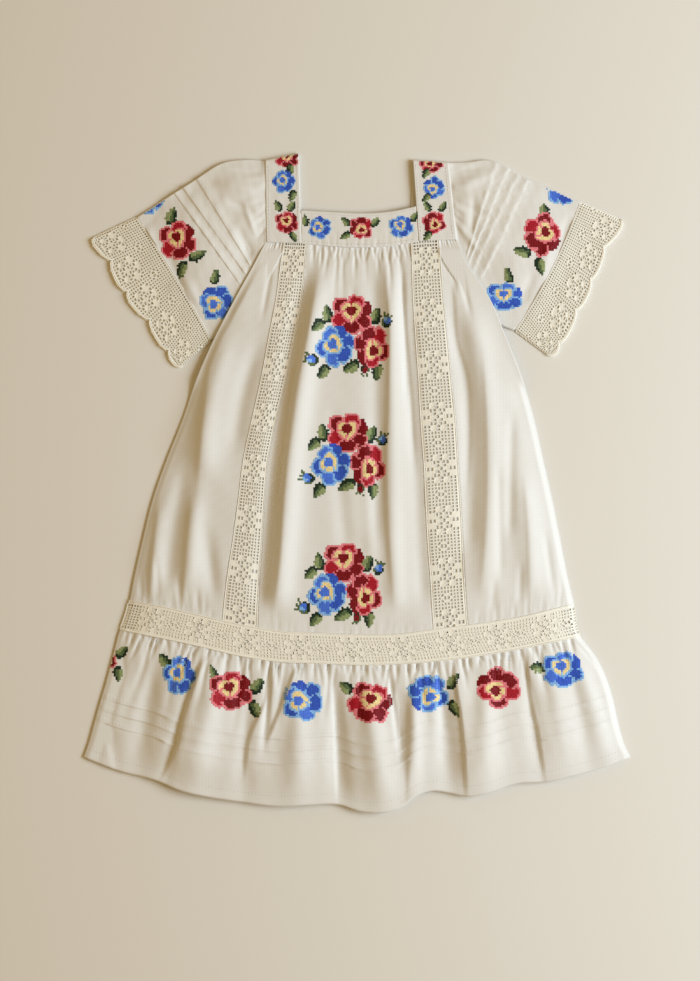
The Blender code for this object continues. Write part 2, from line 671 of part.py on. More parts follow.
def lace_plan(side, reach, share):
    """Plan of the scalloped edging: reach 0 at the sleeve's cuff, 1 at the scalloped edge; share 1 at the top."""
    cuff = sleeve_plan(side, 0.0, share)
    table = SLEEVE_LACE[side]
    count = len(table["x"]) - 1
    knots = {"way": tuple(np.linspace(1.0, 0.0, count + 1)), "x": table["x"], "y": table["y"]}
    outer = np.array([along(knots, "x", share, "way"), along(knots, "y", share, "way")])
    within = (share * count) % 1.0
    bulge = max(1.0 - (2.0 * within - 1.0) ** 2, 0.0) ** 0.55 if 0.0 < share < 1.0 else 0.0
    outer = outer + np.array(table["out"]) * SCALLOP_DEPTH * bulge
    away = outer - cuff
    start = SEAM_GAP / np.linalg.norm(away)
    return cuff + away * (start + (1.0 - start) * reach)


def build_sleeve_lace(side):
    """The edging as a flattened ring: upper layer, top fold, lower layer and underarm fold."""
    radius = 1.4
    count = len(SLEEVE_LACE[side]["x"]) - 1
    shares = np.linspace(0.0, 1.0, count * SCALLOP_COLUMNS + 1)[1:-1]
    columns = [("low_fold", turn) for turn in (-60.0, 0.0, 60.0)]
    columns += [("front", share) for share in shares]
    columns += [("fold", turn) for turn in (60.0, 0.0, -60.0)]
    columns += [("back", share) for share in shares[::-1]]
    columns += [columns[0]]

    def skin(index, reach):
        kind, value = columns[int(index)]
        plan = lambda share: lace_plan(side, reach, share)
        if kind == "front":
            x, y = plan(value)
            z = 2 * radius + 0.9 * math.sin(math.pi * value) ** 0.5
            return (x, y, z), (x, y, z - CLOTH_LAYER)
        if kind == "back":
            x, y = plan(value)
            return (x, y, 0.0), (x, y, CLOTH_LAYER)
        edge, beside = (plan(1.0), plan(0.97)) if kind == "fold" else (plan(0.0), plan(0.03))
        out = (edge - beside) / np.linalg.norm(edge - beside)
        centre = edge - out * radius
        turn = math.radians(value)
        inner = radius - CLOTH_LAYER
        x, y = centre + out * radius * math.cos(turn)
        ix, iy = centre + out * inner * math.cos(turn)
        return ((x, y, radius * (1.0 + math.sin(turn))),
                (ix, iy, radius + inner * math.sin(turn)))

    cloth_wall("sleeve_lace_" + side, range(len(columns)), (0.0, 0.5, 1.0), skin, LACE, rolled=True)


for old in list(bpy.data.objects):
    bpy.data.objects.remove(old)
DRESS = bpy.data.collections.new("embroidered_dress")
bpy.context.scene.collection.children.link(DRESS)
COTTON = material("cream_cotton", CREAM_COTTON, 0.8)
LACE = material("ecru_lace", ECRU_LACE, 0.85)

build_body()
build_lace_band()
build_flounce()
build_back()
build_neck_bands()
for side_name in ("left", "right"):
    build_strap(side_name)
    build_sleeve(side_name)
    build_sleeve_lace(side_name)
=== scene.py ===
"""Builds the visible cloth, lace and embroidery of a toddler's dress that lies flat on a pale surface."""

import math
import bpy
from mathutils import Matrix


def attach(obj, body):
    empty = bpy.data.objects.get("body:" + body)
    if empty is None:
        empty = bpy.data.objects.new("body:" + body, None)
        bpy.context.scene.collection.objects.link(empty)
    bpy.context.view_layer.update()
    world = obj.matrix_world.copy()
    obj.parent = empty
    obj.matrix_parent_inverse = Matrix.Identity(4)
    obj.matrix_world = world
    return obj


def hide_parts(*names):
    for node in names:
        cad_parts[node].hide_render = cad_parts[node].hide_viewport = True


bl_info = {
    "name": "Embroidered Toddler's Dress",
    "version": (1, 0, 0),
    "blender": (4, 5, 0),
    "location": "View3D > Sidebar > Dress",
    "description": "A gathered cotton dress with filet lace and cross-stitch roses, laid out flat",
    "category": "Object",
}

from functools import partial

import bmesh
import bpy
import numpy as np
from bpy.props import FloatProperty, FloatVectorProperty, IntProperty, PointerProperty
from mathutils import Vector
from mathutils.bvhtree import BVHTree

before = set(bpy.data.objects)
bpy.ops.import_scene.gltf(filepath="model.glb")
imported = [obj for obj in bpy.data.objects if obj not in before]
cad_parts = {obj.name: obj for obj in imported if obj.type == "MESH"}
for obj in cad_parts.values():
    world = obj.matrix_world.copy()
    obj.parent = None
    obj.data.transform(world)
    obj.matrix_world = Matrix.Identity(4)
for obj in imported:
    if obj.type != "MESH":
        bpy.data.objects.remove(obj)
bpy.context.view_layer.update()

MM = 0.001
BODY = "root"

# The plan of the dress in millimetres, close to that of its solids: x to the right, y towards the neck.
# Heights are millimetres over the surface that it lies on.

CLOTH_WALL = 1.0
SEAM_GAP = 0.3
FRONT_REST = 1.3
YOKE_REST = 2.4
YOKE_TOP = 3.9
ARMHOLE_REST = 3.6
BODY_LOFT = 6.0
BAND_LOFT = 4.6
SIDE_ROLL = 15.0
ARMHOLE_LAP = 4.0
ARMHOLE_TOP_Y = 180.0
UNDERARM_Y = 112.0
BACK_YOKE_SEAM_Y = 191.0
BACK_NECK_TOP_Y = 214.0
PANEL_LENGTH = 310.0
FLOUNCE_LENGTH = 115.0
BAND_DEPTH = 27.0
STRAP_WIDTH = 28.0
STRAP_LENGTH = 68.0
RIM_TOP = 1.05
SLEEVE_REACH = 18.0
SLEEVE_DEPTH = 40.0
YOKE_LIFT = 9.0
OVER_SLEEVE = (62.0, 88.0)
TUCK_LINES = (34.0, 44.0, 54.0)
HEM_STITCH_LINES = (8.5, 36.8, 46.8, 56.8)
LACE_WALL = 0.95
BACK_TOP = 0.62
UNDER_LACE = 0.5
INWARD = {"left": 1.0, "right": -1.0}
INSERTION_EDGES = {
    "left": ("lace_left_outer", "lace_left_inner"),
    "right": ("lace_right_inner", "lace_right_outer"),
}

BODY_EDGES = {
    "y": (194.0, 180.0, 148.8, 116.8, 82.4, 50.4, 18.4, -13.6, -45.6, -77.6, -97.6, -121.0),
    "side_left": (-72.0, -79.2, -96.4, -113.2, -128.4, -139.6, -152.4, -163.6, -171.6, -178.8, -182.8,
                  -190.4),
    "lace_left_outer": (-57.6, -60.0, -64.0, -70.0, -76.4, -83.6, -90.4, -94.4, -98.8, -103.6, -106.0,
                        -108.0),
    "lace_left_inner": (-39.6, -40.8, -43.6, -49.2, -56.8, -64.4, -70.8, -73.6, -75.6, -77.8, -78.8, -79.6),
    "lace_right_inner": (43.6, 44.0, 44.8, 46.8, 49.2, 50.8, 53.2, 54.8, 56.4, 58.8, 60.0, 61.6),
    "lace_right_outer": (66.0, 67.0, 69.2, 72.4, 75.6, 78.8, 80.8, 82.8, 84.4, 86.0, 87.2, 89.0),
    "side_right": (80.4, 85.6, 105.6, 119.2, 132.4, 142.0, 149.2, 156.4, 162.8, 169.2, 173.8, 176.6),
}
YOKE_SEAM = {
    "x": (-75.0, -43.6, -1.2, 28.0, 49.2, 82.0),
    "y": (192.0, 191.2, 188.4, 189.6, 192.8, 194.0),
}
LACE_BAND = {
    "x": (-192.0, -157.2, -125.2, -93.2, -61.2, -29.2, 2.8, 34.8, 66.8, 98.8, 130.8, 162.8, 180.0),
    "top": (-92.6, -98.4, -105.6, -112.8, -118.4, -120.0, -121.2, -120.8, -116.4, -112.4, -107.2,
            -99.6, -95.6),
    "bottom": (-116.4, -123.2, -130.0, -137.6, -142.4, -143.6, -144.8, -144.0, -141.6, -137.6, -132.0,
               -125.6, -122.0),
}
FLOUNCE_SIDES = {
    "y": (-117.0, -123.0, -132.0, -145.0, -158.0, -174.0, -194.0, -210.0, -219.2),
    "left": (-189.6, -191.4, -193.6, -197.0, -200.4, -205.2, -210.8, -215.4, -218.8),
    "right": (176.2, 179.4, 186.4, 194.8, 200.4, 205.2, 209.6, 214.4, 218.8),
}
HEM = {
    "x": (-218.8, -189.2, -159.6, -141.2, -125.2, -93.2, -61.2, -37.2, -15.0, 2.8, 22.8, 34.8,
          46.8, 60.4, 74.8, 86.8, 102.8, 126.8, 154.8, 170.8, 194.8, 218.8),
    "y": (-219.2, -230.4, -238.0, -245.6, -249.6, -254.8, -258.4, -257.2, -257.0, -262.4, -262.8, -259.2,
          -250.4, -246.0, -248.0, -250.4, -248.0, -240.4, -238.4, -234.4, -228.0, -219.2),
}
BODY_FOLDS = (
    # name, (x, y) at the top, middle and foot, half width, height
    ("valley beside left insertion", (-38.0, 178.0), (-59.0, 66.0), (-79.0, -108.0), 6.5, -3.8),
    ("ridge left of centre", (-26.0, 178.0), (-46.0, 66.0), (-65.0, -108.0), 9.5, 5.0),
    ("valley right of centre", (14.0, 184.0), (17.0, 66.0), (16.0, -50.0), 7.5, -2.9),
    ("ridge right of centre", (25.0, 184.0), (28.5, 66.0), (31.0, -108.0), 8.0, 4.7),
    ("valley beside right insertion", (41.0, 150.0), (45.0, 60.0), (53.0, -104.0), 6.0, -3.0),
    ("valley past right insertion", (76.0, 146.0), (89.0, 60.0), (90.0, -60.0), 8.5, -4.0),
    ("ridge of right side", (92.0, 150.0), (105.0, 40.0), (101.0, -95.0), 10.0, 5.0),
    ("outer ridge of right side", (128.0, 20.0), (137.0, -40.0), (139.0, -92.0), 9.0, 3.6),
    ("valley past left insertion", (-76.0, 122.0), (-92.0, 66.0), (-98.0, 20.0), 7.5, -3.0),
    ("ridge of left side", (-104.0, 130.0), (-122.0, 60.0), (-121.0, 0.0), 11.0, 4.6),
    ("valley of left side", (-137.0, 26.0), (-146.0, -40.0), (-152.0, -92.0), 8.0, -3.4),
    ("outer ridge of left side", (-156.0, 0.0), (-163.0, -50.0), (-165.0, -90.0), 6.0, 2.6),
    ("low ridge of left side", (-126.0, 4.0), (-131.0, -46.0), (-133.0, -88.0), 7.0, 2.8),
    ("valley at left foot", (-120.0, -30.0), (-117.0, -62.0), (-113.0, -100.0), 6.0, -2.8),
)
FLOUNCE_FOLDS = (
    # name, x at the band, x at the hem, half width at the hem, height, how far down it reaches
    ("left edge ridge", -175.0, -207.0, 9.0, 3.2, 1.0),
    ("left valley", -156.0, -176.0, 11.0, -3.6, 1.0),
    ("crease beside first ridge", -121.0, -154.0, 5.0, -2.4, 1.0),
    ("first ridge", -103.0, -133.0, 14.0, 5.6, 1.0),
    ("shallow valley", -84.0, -91.0, 9.0, -2.8, 1.0),
    ("short crease left of centre", -67.0, -78.0, 3.4, -3.0, 0.7),
    ("second ridge", -47.0, -47.0, 13.0, 4.6, 1.0),
    ("centre valley", -19.0, -13.0, 9.5, -4.4, 1.0),
    ("third ridge", 5.0, 22.0, 14.0, 5.8, 1.0),
    ("short crease right of centre", 24.0, 41.0, 3.4, -3.0, 0.75),
    ("low ridge", 46.0, 46.0, 7.0, 2.8, 1.0),
    ("right valley", 68.0, 74.0, 10.0, -4.6, 1.0),
    ("fourth ridge", 102.0, 104.0, 13.0, 5.2, 1.0),
    ("outer valley", 132.0, 149.0, 9.0, -4.4, 1.0),
    ("fifth ridge", 150.0, 169.0, 11.0, 4.6, 1.0),
    ("edge valley", 163.0, 188.0, 7.0, -2.6, 1.0),
    ("right edge ridge", 170.0, 205.0, 8.0, 3.4, 1.0),
)
STRAPS = {
    "left": {
        "foot": (-71.6, -43.9), "shoulder": (-72.6, -46.0), "foot_y": (192.2, 191.6),
        "shoulder_y": (258.4, 263.62), "back_slant": 0.0,
    },
    "right": {
        "foot": (79.6, 49.5), "shoulder": (73.0, 44.8), "foot_y": (194.5, 193.3),
        "shoulder_y": (256.4, 258.4), "back_slant": -7.0,
    },
}
NECK_BAND = {
    "x": (-43.6, -15.0, 2.8, 28.0, 49.2),
    "top": (218.0, 216.4, 215.6, 217.2, 221.6),
}
SLEEVE_WAY = (0.0, 0.14, 0.26, 0.38, 0.46, 0.54, 0.68, 0.84, 1.0)
SLEEVES = {
    "left": {
        "way": SLEEVE_WAY,
        "fold_x": (-175.6, -162.0, -154.0, -146.8, -140.4, -129.6, -109.0, -88.0, -73.2),
        "fold_y": (212.8, 221.6, 227.0, 231.6, 235.6, 242.4, 255.4, 258.8, 257.6),
        "end_y": (114.4, 122.0, 140.0, 153.0, 161.0, 168.0, 177.0, 184.0, 191.6),
        "end_out": (5.6, 0.0, 0.0, 0.0, 0.0, 0.0, 0.0, 0.0, 0.0),
        "seam_bow": -1.6,
        "tucks": (0.39, 0.47, 0.55),
        "tuck_wander": 0.0, "tuck_height": 0.7, "tuck_pucker": 0.14,
    },
    "right": {
        "way": SLEEVE_WAY,
        "fold_x": (178.8, 162.0, 150.0, 137.6, 129.6, 121.6, 106.0, 89.0, 73.8),
        "fold_y": (224.8, 232.4, 237.6, 242.8, 246.8, 252.0, 258.2, 256.8, 256.2),
        "end_y": (121.8, 130.0, 146.0, 157.0, 165.0, 172.0, 180.0, 187.0, 193.4),
        "end_out": (13.4, 0.0, 0.0, 0.0, 0.0, 0.0, 0.0, 0.0, 0.0),
        "seam_bow": 4.0,
        "tucks": (0.38, 0.46, 0.54, 0.62),
        "tuck_wander": 0.006, "tuck_height": 0.5, "tuck_pucker": 0.26,
    },
}
SLEEVE_END_TOP = 3.2
SLEEVE_FOLD_TOP = 3.6
SLEEVE_PUFF = 2.6
SLEEVE_PUFF_SPAN = (0.1, 0.42, 0.62, 0.97)
SLEEVE_TUBE_RADIUS = 1.0
SLEEVE_LACE = {
    "left": {
        "x": (-210.4, -195.6, -182.8, -165.2, -150.0, -139.6),
        "y": (196.4, 178.4, 153.6, 131.2, 107.2, 93.0),
    },
    "right": {
        "x": (211.6, 197.2, 186.8, 174.8, 161.2, 152.4),
        "y": (210.4, 189.6, 164.0, 139.2, 113.6, 102.4),
    },
}
SCALLOPS = 5
SCALLOP_DEPTH = 5.0
EDGING_DEPTH = 38.0
EDGING_LENGTH = 120.0
EDGING_START = -0.02
EDGING_REACH = 1.0 + SCALLOP_DEPTH / EDGING_DEPTH
EDGING_TUBE_RADIUS = 0.75
EDGING_ROWS = 20
SCALLOP_SQUARES = 11
LAYER_SQUARES = SCALLOPS * SCALLOP_SQUARES
SLEEVE_LACE_REST = 1.5

# Creases that the solids leave to the cloth: (x, y) at each end, half width, height
SIDE_CREASES = (
    ((-88.0, 168.0), (-108.0, 118.0), 2.6, -0.9),
    ((-80.0, 176.0), (-97.0, 140.0), 2.0, -0.7),
    ((-66.0, 184.0), (-76.0, 128.0), 2.2, -0.9),
    ((-176.0, -66.0), (-171.0, -92.0), 2.4, -1.0),
    ((-160.0, -58.0), (-158.0, -96.0), 2.2, -0.9),
    ((-142.0, -70.0), (-141.0, -100.0), 2.4, -0.8),
    ((-127.0, -84.0), (-127.0, -104.0), 2.0, -0.8),
    ((-20.0, 66.0), (-8.0, -60.0), 6.0, -1.1),
    ((6.0, 60.0), (12.0, -70.0), 5.0, 0.9),
    ((-3.0, 160.0), (-2.0, 120.0), 3.0, -0.8),
    ((36.0, 176.0), (40.0, 60.0), 2.4, -1.2),
    ((-48.0, 100.0), (-64.0, -20.0), 3.0, -1.2),
    ((80.0, 180.0), (92.0, 130.0), 2.2, -1.0),
    ((74.0, 186.0), (80.0, 150.0), 2.0, -0.9),
    ((124.0, 60.0), (122.0, -50.0), 4.0, -1.2),
    ((113.0, 20.0), (115.0, -80.0), 3.2, -0.8),
    ((150.0, -36.0), (158.0, -92.0), 2.6, -1.1),
    ((163.0, -52.0), (166.0, -92.0), 2.2, -1.0),
    ((131.0, -62.0), (130.0, -100.0), 2.4, -0.8),
    ((110.0, -76.0), (108.0, -106.0), 2.6, -0.7),
)

# Folds with one sharp flank: ((x, y), ...) from the top to the foot, width of the flank on the left,
# width of the slope on the right, height
BODY_CRISP_FOLDS = (
    # Beside the left insertion
    (((-26.0, 184.0), (-32.5, 150.0), (-42.0, 100.0), (-49.0, 71.0), (-55.5, 18.0), (-57.5, -17.0),
      (-60.0, -61.6), (-67.0, -118.0)), 3.4, 13.0, 2.4),
    # The bright ridge right of the centre, and the valley past it
    (((21.5, 189.0), (26.4, 137.0), (26.2, 71.0), (24.4, 18.0), (25.5, -30.0), (32.0, -112.0)),
     2.2, 7.0, 2.2),
    (((36.0, 188.0), (37.2, 138.4), (42.0, 82.4), (46.8, 2.4)), 4.0, 1.8, -1.9),
    # Past the right insertion
    (((73.0, 190.0), (76.4, 146.4), (78.8, 114.4), (87.6, 82.4), (89.2, 50.4), (86.8, -20.0)),
     5.0, 2.4, -1.6),
    (((101.0, 120.0), (104.8, 50.0), (104.4, -30.0), (99.0, -100.0)), 3.0, 12.0, 1.6),
    (((134.0, 10.0), (137.6, -40.0), (139.0, -100.0)), 2.4, 8.0, 1.4),
    # The left side
    (((-72.0, 186.0), (-93.2, 146.4), (-105.2, 122.4), (-114.8, 98.4), (-119.6, 66.4), (-122.8, 34.4),
      (-126.0, -20.0)), 4.0, 14.0, 2.0),
    (((-131.0, -10.0), (-135.0, -50.0), (-138.0, -100.0)), 2.4, 8.0, 1.2),
    (((-157.0, -12.0), (-162.0, -56.0), (-165.0, -100.0)), 2.4, 7.0, 1.2),
)
FLOUNCE_CRISP_FOLDS = (
    # The deep pleat on the left, whose edge covers part of a rose
    (((-119.6, -130.0), (-127.6, -157.6), (-137.2, -185.6), (-141.2, -205.6), (-159.6, -246.0)),
     1.5, 17.0, 3.6),
    (((-66.0, -140.0), (-68.4, -152.8), (-72.4, -175.2), (-83.6, -200.0), (-89.2, -240.0)), 1.3, 10.0, 1.9),
    (((-45.2, -141.6), (-58.8, -176.8), (-70.8, -207.2)), 1.4, 9.0, 2.4),
    (((-20.4, -146.0), (-17.2, -189.6), (-14.8, -262.0)), 1.0, 9.0, -2.1),
    (((30.8, -160.0), (34.8, -189.6), (37.2, -216.0)), 1.2, 8.0, -1.9),
    (((43.0, -170.0), (42.8, -200.0), (42.0, -262.0)), 2.0, 9.0, 1.5),
    (((76.4, -140.0), (84.4, -189.6), (89.2, -262.0)), 1.3, 13.0, 2.9),
    (((137.2, -130.0), (138.8, -165.6), (145.2, -197.6), (153.2, -250.0)), 1.3, 11.0, 2.4),
    (((176.4, -128.0), (194.8, -150.0), (204.4, -172.0)), 1.6, 6.0, -1.6),
    (((-200.0, -190.0), (-190.0, -236.0)), 3.0, 6.0, -1.5),
)
# Rows of gathers: first and last x, how many (None for the number that is chosen), seed of their places,
# shift, middle and slope of their leans, depth, reach, seed, and how unlike each other their leans are
YOKE_GATHERS = (
    (-39.0, 43.0, None, 3, 0.0, 2.0, 0.0022, 1.9, 24.0, 4, 0.5),
    (-39.0, 43.0, None, 3, 1.3, 2.0, 0.0022, 1.6, 19.0, 41, 1.0),
    (-36.0, 40.0, 8, 15, 0.0, 2.0, 0.003, 1.5, 90.0, 16, 0.04),
    (-72.0, -57.0, 7, 5, 0.0, -52.0, 0.028, 1.0, 40.0, 6, 0.2),
    (66.0, 81.0, 7, 7, 0.0, 60.0, 0.026, 1.0, 40.0, 8, 0.2),
)
BAND_GATHERS = (
    (-178.0, -112.0, 18, 9, 0.0, 0.0, 0.0004, 0.8, 30.0, 10, 0.0),
    (-76.0, 58.0, 22, 11, 0.0, 0.0, 0.0002, 0.5, 22.0, 12, 0.0),
    (92.0, 172.0, 18, 13, 0.0, 0.0, 0.0003, 0.8, 30.0, 14, 0.0),
)
FLOUNCE_GATHERS = (
    (-188.0, 176.0, None, 21, 0.0, 0.0, 0.0016, 2.4, 34.0, 22, 0.4),
    (-188.0, 176.0, None, 21, 1.6, 0.0, 0.0016, 1.9, 26.0, 25, 0.9),
    (-180.0, 170.0, 19, 23, 0.0, 0.0, 0.0018, 1.5, 96.0, 24, 0.08),
)
SLEEVE_CREASES = {
    "left": (
        ((-114.0, 240.0), (-82.0, 234.0), 4.0, 0.8), ((-104.0, 226.0), (-78.0, 214.0), 3.0, -0.9),
        ((-100.0, 250.0), (-78.0, 247.0), 2.4, -0.6), ((-95.0, 206.0), (-84.0, 180.0), 3.4, -1.0),
        ((-140.0, 168.0), (-125.0, 140.0), 4.0, 0.9), ((-152.0, 190.0), (-141.0, 152.0), 5.0, -0.8),
        ((-168.0, 206.0), (-160.0, 182.0), 3.0, 0.5), ((-90.0, 224.0), (-80.0, 196.0), 2.4, 0.7),
    ),
    "right": (
        ((82.0, 238.0), (108.0, 246.0), 4.0, 0.9), ((80.0, 222.0), (104.0, 214.0), 3.0, -0.9),
        ((79.0, 208.0), (98.0, 186.0), 3.0, 0.9), ((82.0, 250.0), (102.0, 252.0), 2.4, -0.6),
        ((94.0, 230.0), (92.0, 200.0), 3.0, -0.8), ((142.0, 168.0), (131.0, 142.0), 4.0, -0.8),
        ((156.0, 196.0), (147.0, 160.0), 5.0, 0.7), ((170.0, 214.0), (163.0, 190.0), 3.0, -0.5),
    ),
}

# Filet charts: # is a darned square. Each is a common flower of filet lace
STAR_FLOWER = (
    "..##.##..",
    "..##.##..",
    "##..#..##",
    "###.#.###",
    "..##.##..",
    "###.#.###",
    "##..#..##",
    "..##.##..",
    "..##.##..",
)
RING_FLOWER = (
    "...###...",
    ".#.###.#.",
    "###.#.###",
    "###...###",
    ".#..#..#.",
    "...###...",
    ".##.#.##.",
    ".##...##.",
    "...###...",
)
SMALL_RING = (
    ".##.",
    "#..#",
    ".##.",
)
FLOWER_SPACING = 16
NET_HEIGHT = 0.1
DARNING_HEIGHT = 0.14

# Radii of the cords along the insertions, the lace bands and scallops, the cuffs, and of sewing thread
SEAM_CORD = 0.38
EDGE_CORD = 0.6
CUFF_CORD = 0.4
SEWING_THREAD = 0.17
STITCH_LENGTH = 2.0
STITCH_GAP = 0.9

# How far a cross stitch may be off its place, as a share of its size
UNEVENNESS = 0.1

# How many radians a wave texture of scale 1 turns in a metre
WAVE_TURN = 20.0

# Threads of the cross stitch, as seen, in sRGB
THREADS = {
    "crimson": (0.52, 0.015, 0.07),
    "red": (0.72, 0.09, 0.17),
    "pink": (0.96, 0.54, 0.58),
    "yellow": (1.0, 0.91, 0.66),
    "navy": (0.22, 0.38, 0.82),
    "blue": (0.32, 0.50, 0.93),
    "sky": (0.57, 0.78, 1.0),
    "light_leaf": (0.61, 0.67, 0.46),
    "leaf": (0.38, 0.46, 0.30),
    "dark_leaf": (0.11, 0.20, 0.13),
}

# A rose of radius 1: petals from the back to the front, each with its edge in the paler thread or not
ROSE_PETALS = (
    # centre x, centre y, half width, half height, thread, pale edge
    (0.68, 0.26, 0.33, 0.46, "deep", False),
    (-0.54, 0.46, 0.42, 0.42, "deep", True),
    (0.20, 0.62, 0.44, 0.37, "bright", True),
    (-0.60, -0.30, 0.40, 0.44, "bright", True),
    (0.60, -0.40, 0.39, 0.40, "deep", True),
    (-0.02, -0.64, 0.50, 0.36, "deep", True),
)

# Where the motifs are: kind, centre x, centre y, width, height, turn in degrees
FRONT_CLUSTERS = ((-3.6, 134.4), (-7.0, 39.9), (-10.0, -63.2))
CLUSTER = (
    ("leaf", -19.5, 0.5, 14.0, 8.0, 100.0),
    ("leaf", -27.0, -9.0, 12.5, 8.0, 225.0),
    ("leaf", 19.0, -1.0, 14.5, 8.5, 70.0),
    ("leaf", -23.0, -46.0, 13.0, 8.5, 235.0),
    ("leaf", -1.0, -42.0, 15.0, 9.0, 210.0),
    ("leaf", 20.0, -46.0, 13.5, 8.0, 268.0),
    ("blue_bud", -32.0, -36.0, 13.0, 11.0, 160.0),
    ("blue_bud", 27.8, -5.2, 12.0, 9.5, 75.0),
    ("red_bud", 10.4, -44.0, 11.0, 7.5, 262.0),
    ("red_rose", 0.0, 0.0, 31.0, 30.5, 0.0),
    ("blue_rose", -12.8, -25.2, 28.0, 31.0, 50.0),
    ("red_rose", 15.8, -25.6, 25.5, 32.5, 200.0),
)
FLOUNCE_MOTIFS = (
    ("red_rose", -206.5, -140.5, 26.0, 26.0, 20.0),
    ("leaf", -187.6, -135.2, 12.0, 7.5, 45.0),
    ("leaf", -190.6, -152.6, 12.0, 7.5, 275.0),
    ("leaf", -153.2, -141.6, 12.0, 8.0, 130.0),
    ("blue_rose", -141.2, -153.6, 23.5, 29.0, 30.0),
    ("leaf", -78.8, -161.6, 15.0, 8.5, 55.0),
    ("leaf", -81.2, -180.6, 15.0, 8.5, 292.0),
    ("leaf", -114.0, -151.0, 12.0, 5.5, 110.0),
    ("red_rose", -100.4, -165.6, 32.0, 30.0, 10.0),
    ("blue_rose", -42.8, -173.6, 31.0, 30.0, 80.0),
    ("leaf", -8.4, -163.0, 13.0, 8.0, 140.0),
    ("red_rose", 10.8, -175.2, 33.0, 30.5, 340.0),
    ("leaf", 77.2, -158.2, 15.0, 7.5, 60.0),
    ("leaf", 78.0, -180.2, 15.0, 7.5, 300.0),
    ("blue_rose", 57.2, -168.0, 29.5, 28.5, 200.0),
    ("red_rose", 113.2, -163.2, 33.5, 29.0, 130.0),
    ("leaf", 144.4, -147.2, 13.0, 8.0, 172.0),
    ("blue_rose", 164.4, -148.8, 30.5, 27.5, 10.0),
)
YOKE_MOTIFS = (
    ("red_rose", -55.6, 259.6, 17.5, 15.0, 0.0),
    ("leaf", -52.6, 250.6, 9.0, 5.6, 285.0),
    ("blue_rose", -58.0, 240.8, 16.5, 17.0, 40.0),
    ("leaf", -51.4, 229.6, 9.6, 5.6, 245.0),
    ("leaf", -62.6, 221.6, 9.6, 5.6, 120.0),
    ("leaf", -51.8, 220.8, 9.6, 5.6, 60.0),
    ("red_rose", -55.6, 208.0, 17.0, 17.0, 10.0),
    ("leaf", -50.4, 196.6, 9.6, 5.1, 300.0),
    ("leaf", -40.6, 209.6, 9.0, 5.1, 100.0),
    ("blue_rose", -29.2, 204.0, 17.0, 16.5, 70.0),
    ("leaf", -8.6, 209.0, 9.0, 5.3, 130.0),
    ("leaf", -9.0, 197.6, 9.0, 5.3, 215.0),
    ("red_rose", 3.6, 204.0, 17.5, 17.0, 180.0),
    ("leaf", 15.2, 208.4, 9.6, 5.3, 50.0),
    ("blue_rose", 35.6, 204.8, 18.0, 16.5, 20.0),
    ("leaf", 46.4, 212.4, 9.0, 5.1, 60.0),
    ("red_rose", 59.6, 254.4, 17.0, 12.5, 30.0),
    ("leaf", 55.4, 247.4, 9.0, 5.1, 240.0),
    ("blue_rose", 62.0, 236.0, 16.0, 16.0, 120.0),
    ("leaf", 55.6, 227.8, 9.0, 5.1, 235.0),
    ("leaf", 56.6, 221.0, 9.0, 5.1, 120.0),
    ("leaf", 69.0, 220.8, 9.0, 5.1, 60.0),
    ("red_rose", 62.0, 208.0, 17.0, 17.0, 200.0),
    ("leaf", 56.6, 197.2, 9.6, 5.1, 235.0),
)
SLEEVE_MOTIFS = {
    "left": (
        ("blue_rose", -166.5, 230.0, 26.0, 28.0, 60.0),
        ("leaf", -147.6, 213.4, 15.0, 8.0, 75.0),
        ("leaf", -126.8, 181.6, 15.0, 8.0, 25.0),
        ("leaf", -139.6, 170.4, 15.0, 8.0, 252.0),
        ("leaf", -112.6, 164.8, 13.0, 7.0, 75.0),
        ("red_rose", -142.8, 193.6, 27.5, 30.0, 15.0),
        ("blue_rose", -111.6, 144.0, 26.0, 26.0, 100.0),
    ),
    "right": (
        ("blue_rose", 165.0, 236.0, 26.0, 26.0, 20.0),
        ("leaf", 150.0, 217.4, 12.0, 8.0, 95.0),
        ("leaf", 132.4, 184.8, 15.0, 8.0, 165.0),
        ("leaf", 146.8, 173.0, 14.0, 8.0, 288.0),
        ("leaf", 121.2, 166.0, 13.0, 7.0, 105.0),
        ("red_rose", 148.4, 198.4, 28.0, 31.0, 300.0),
        ("blue_rose", 118.0, 148.8, 28.0, 21.5, 0.0),
    ),
}


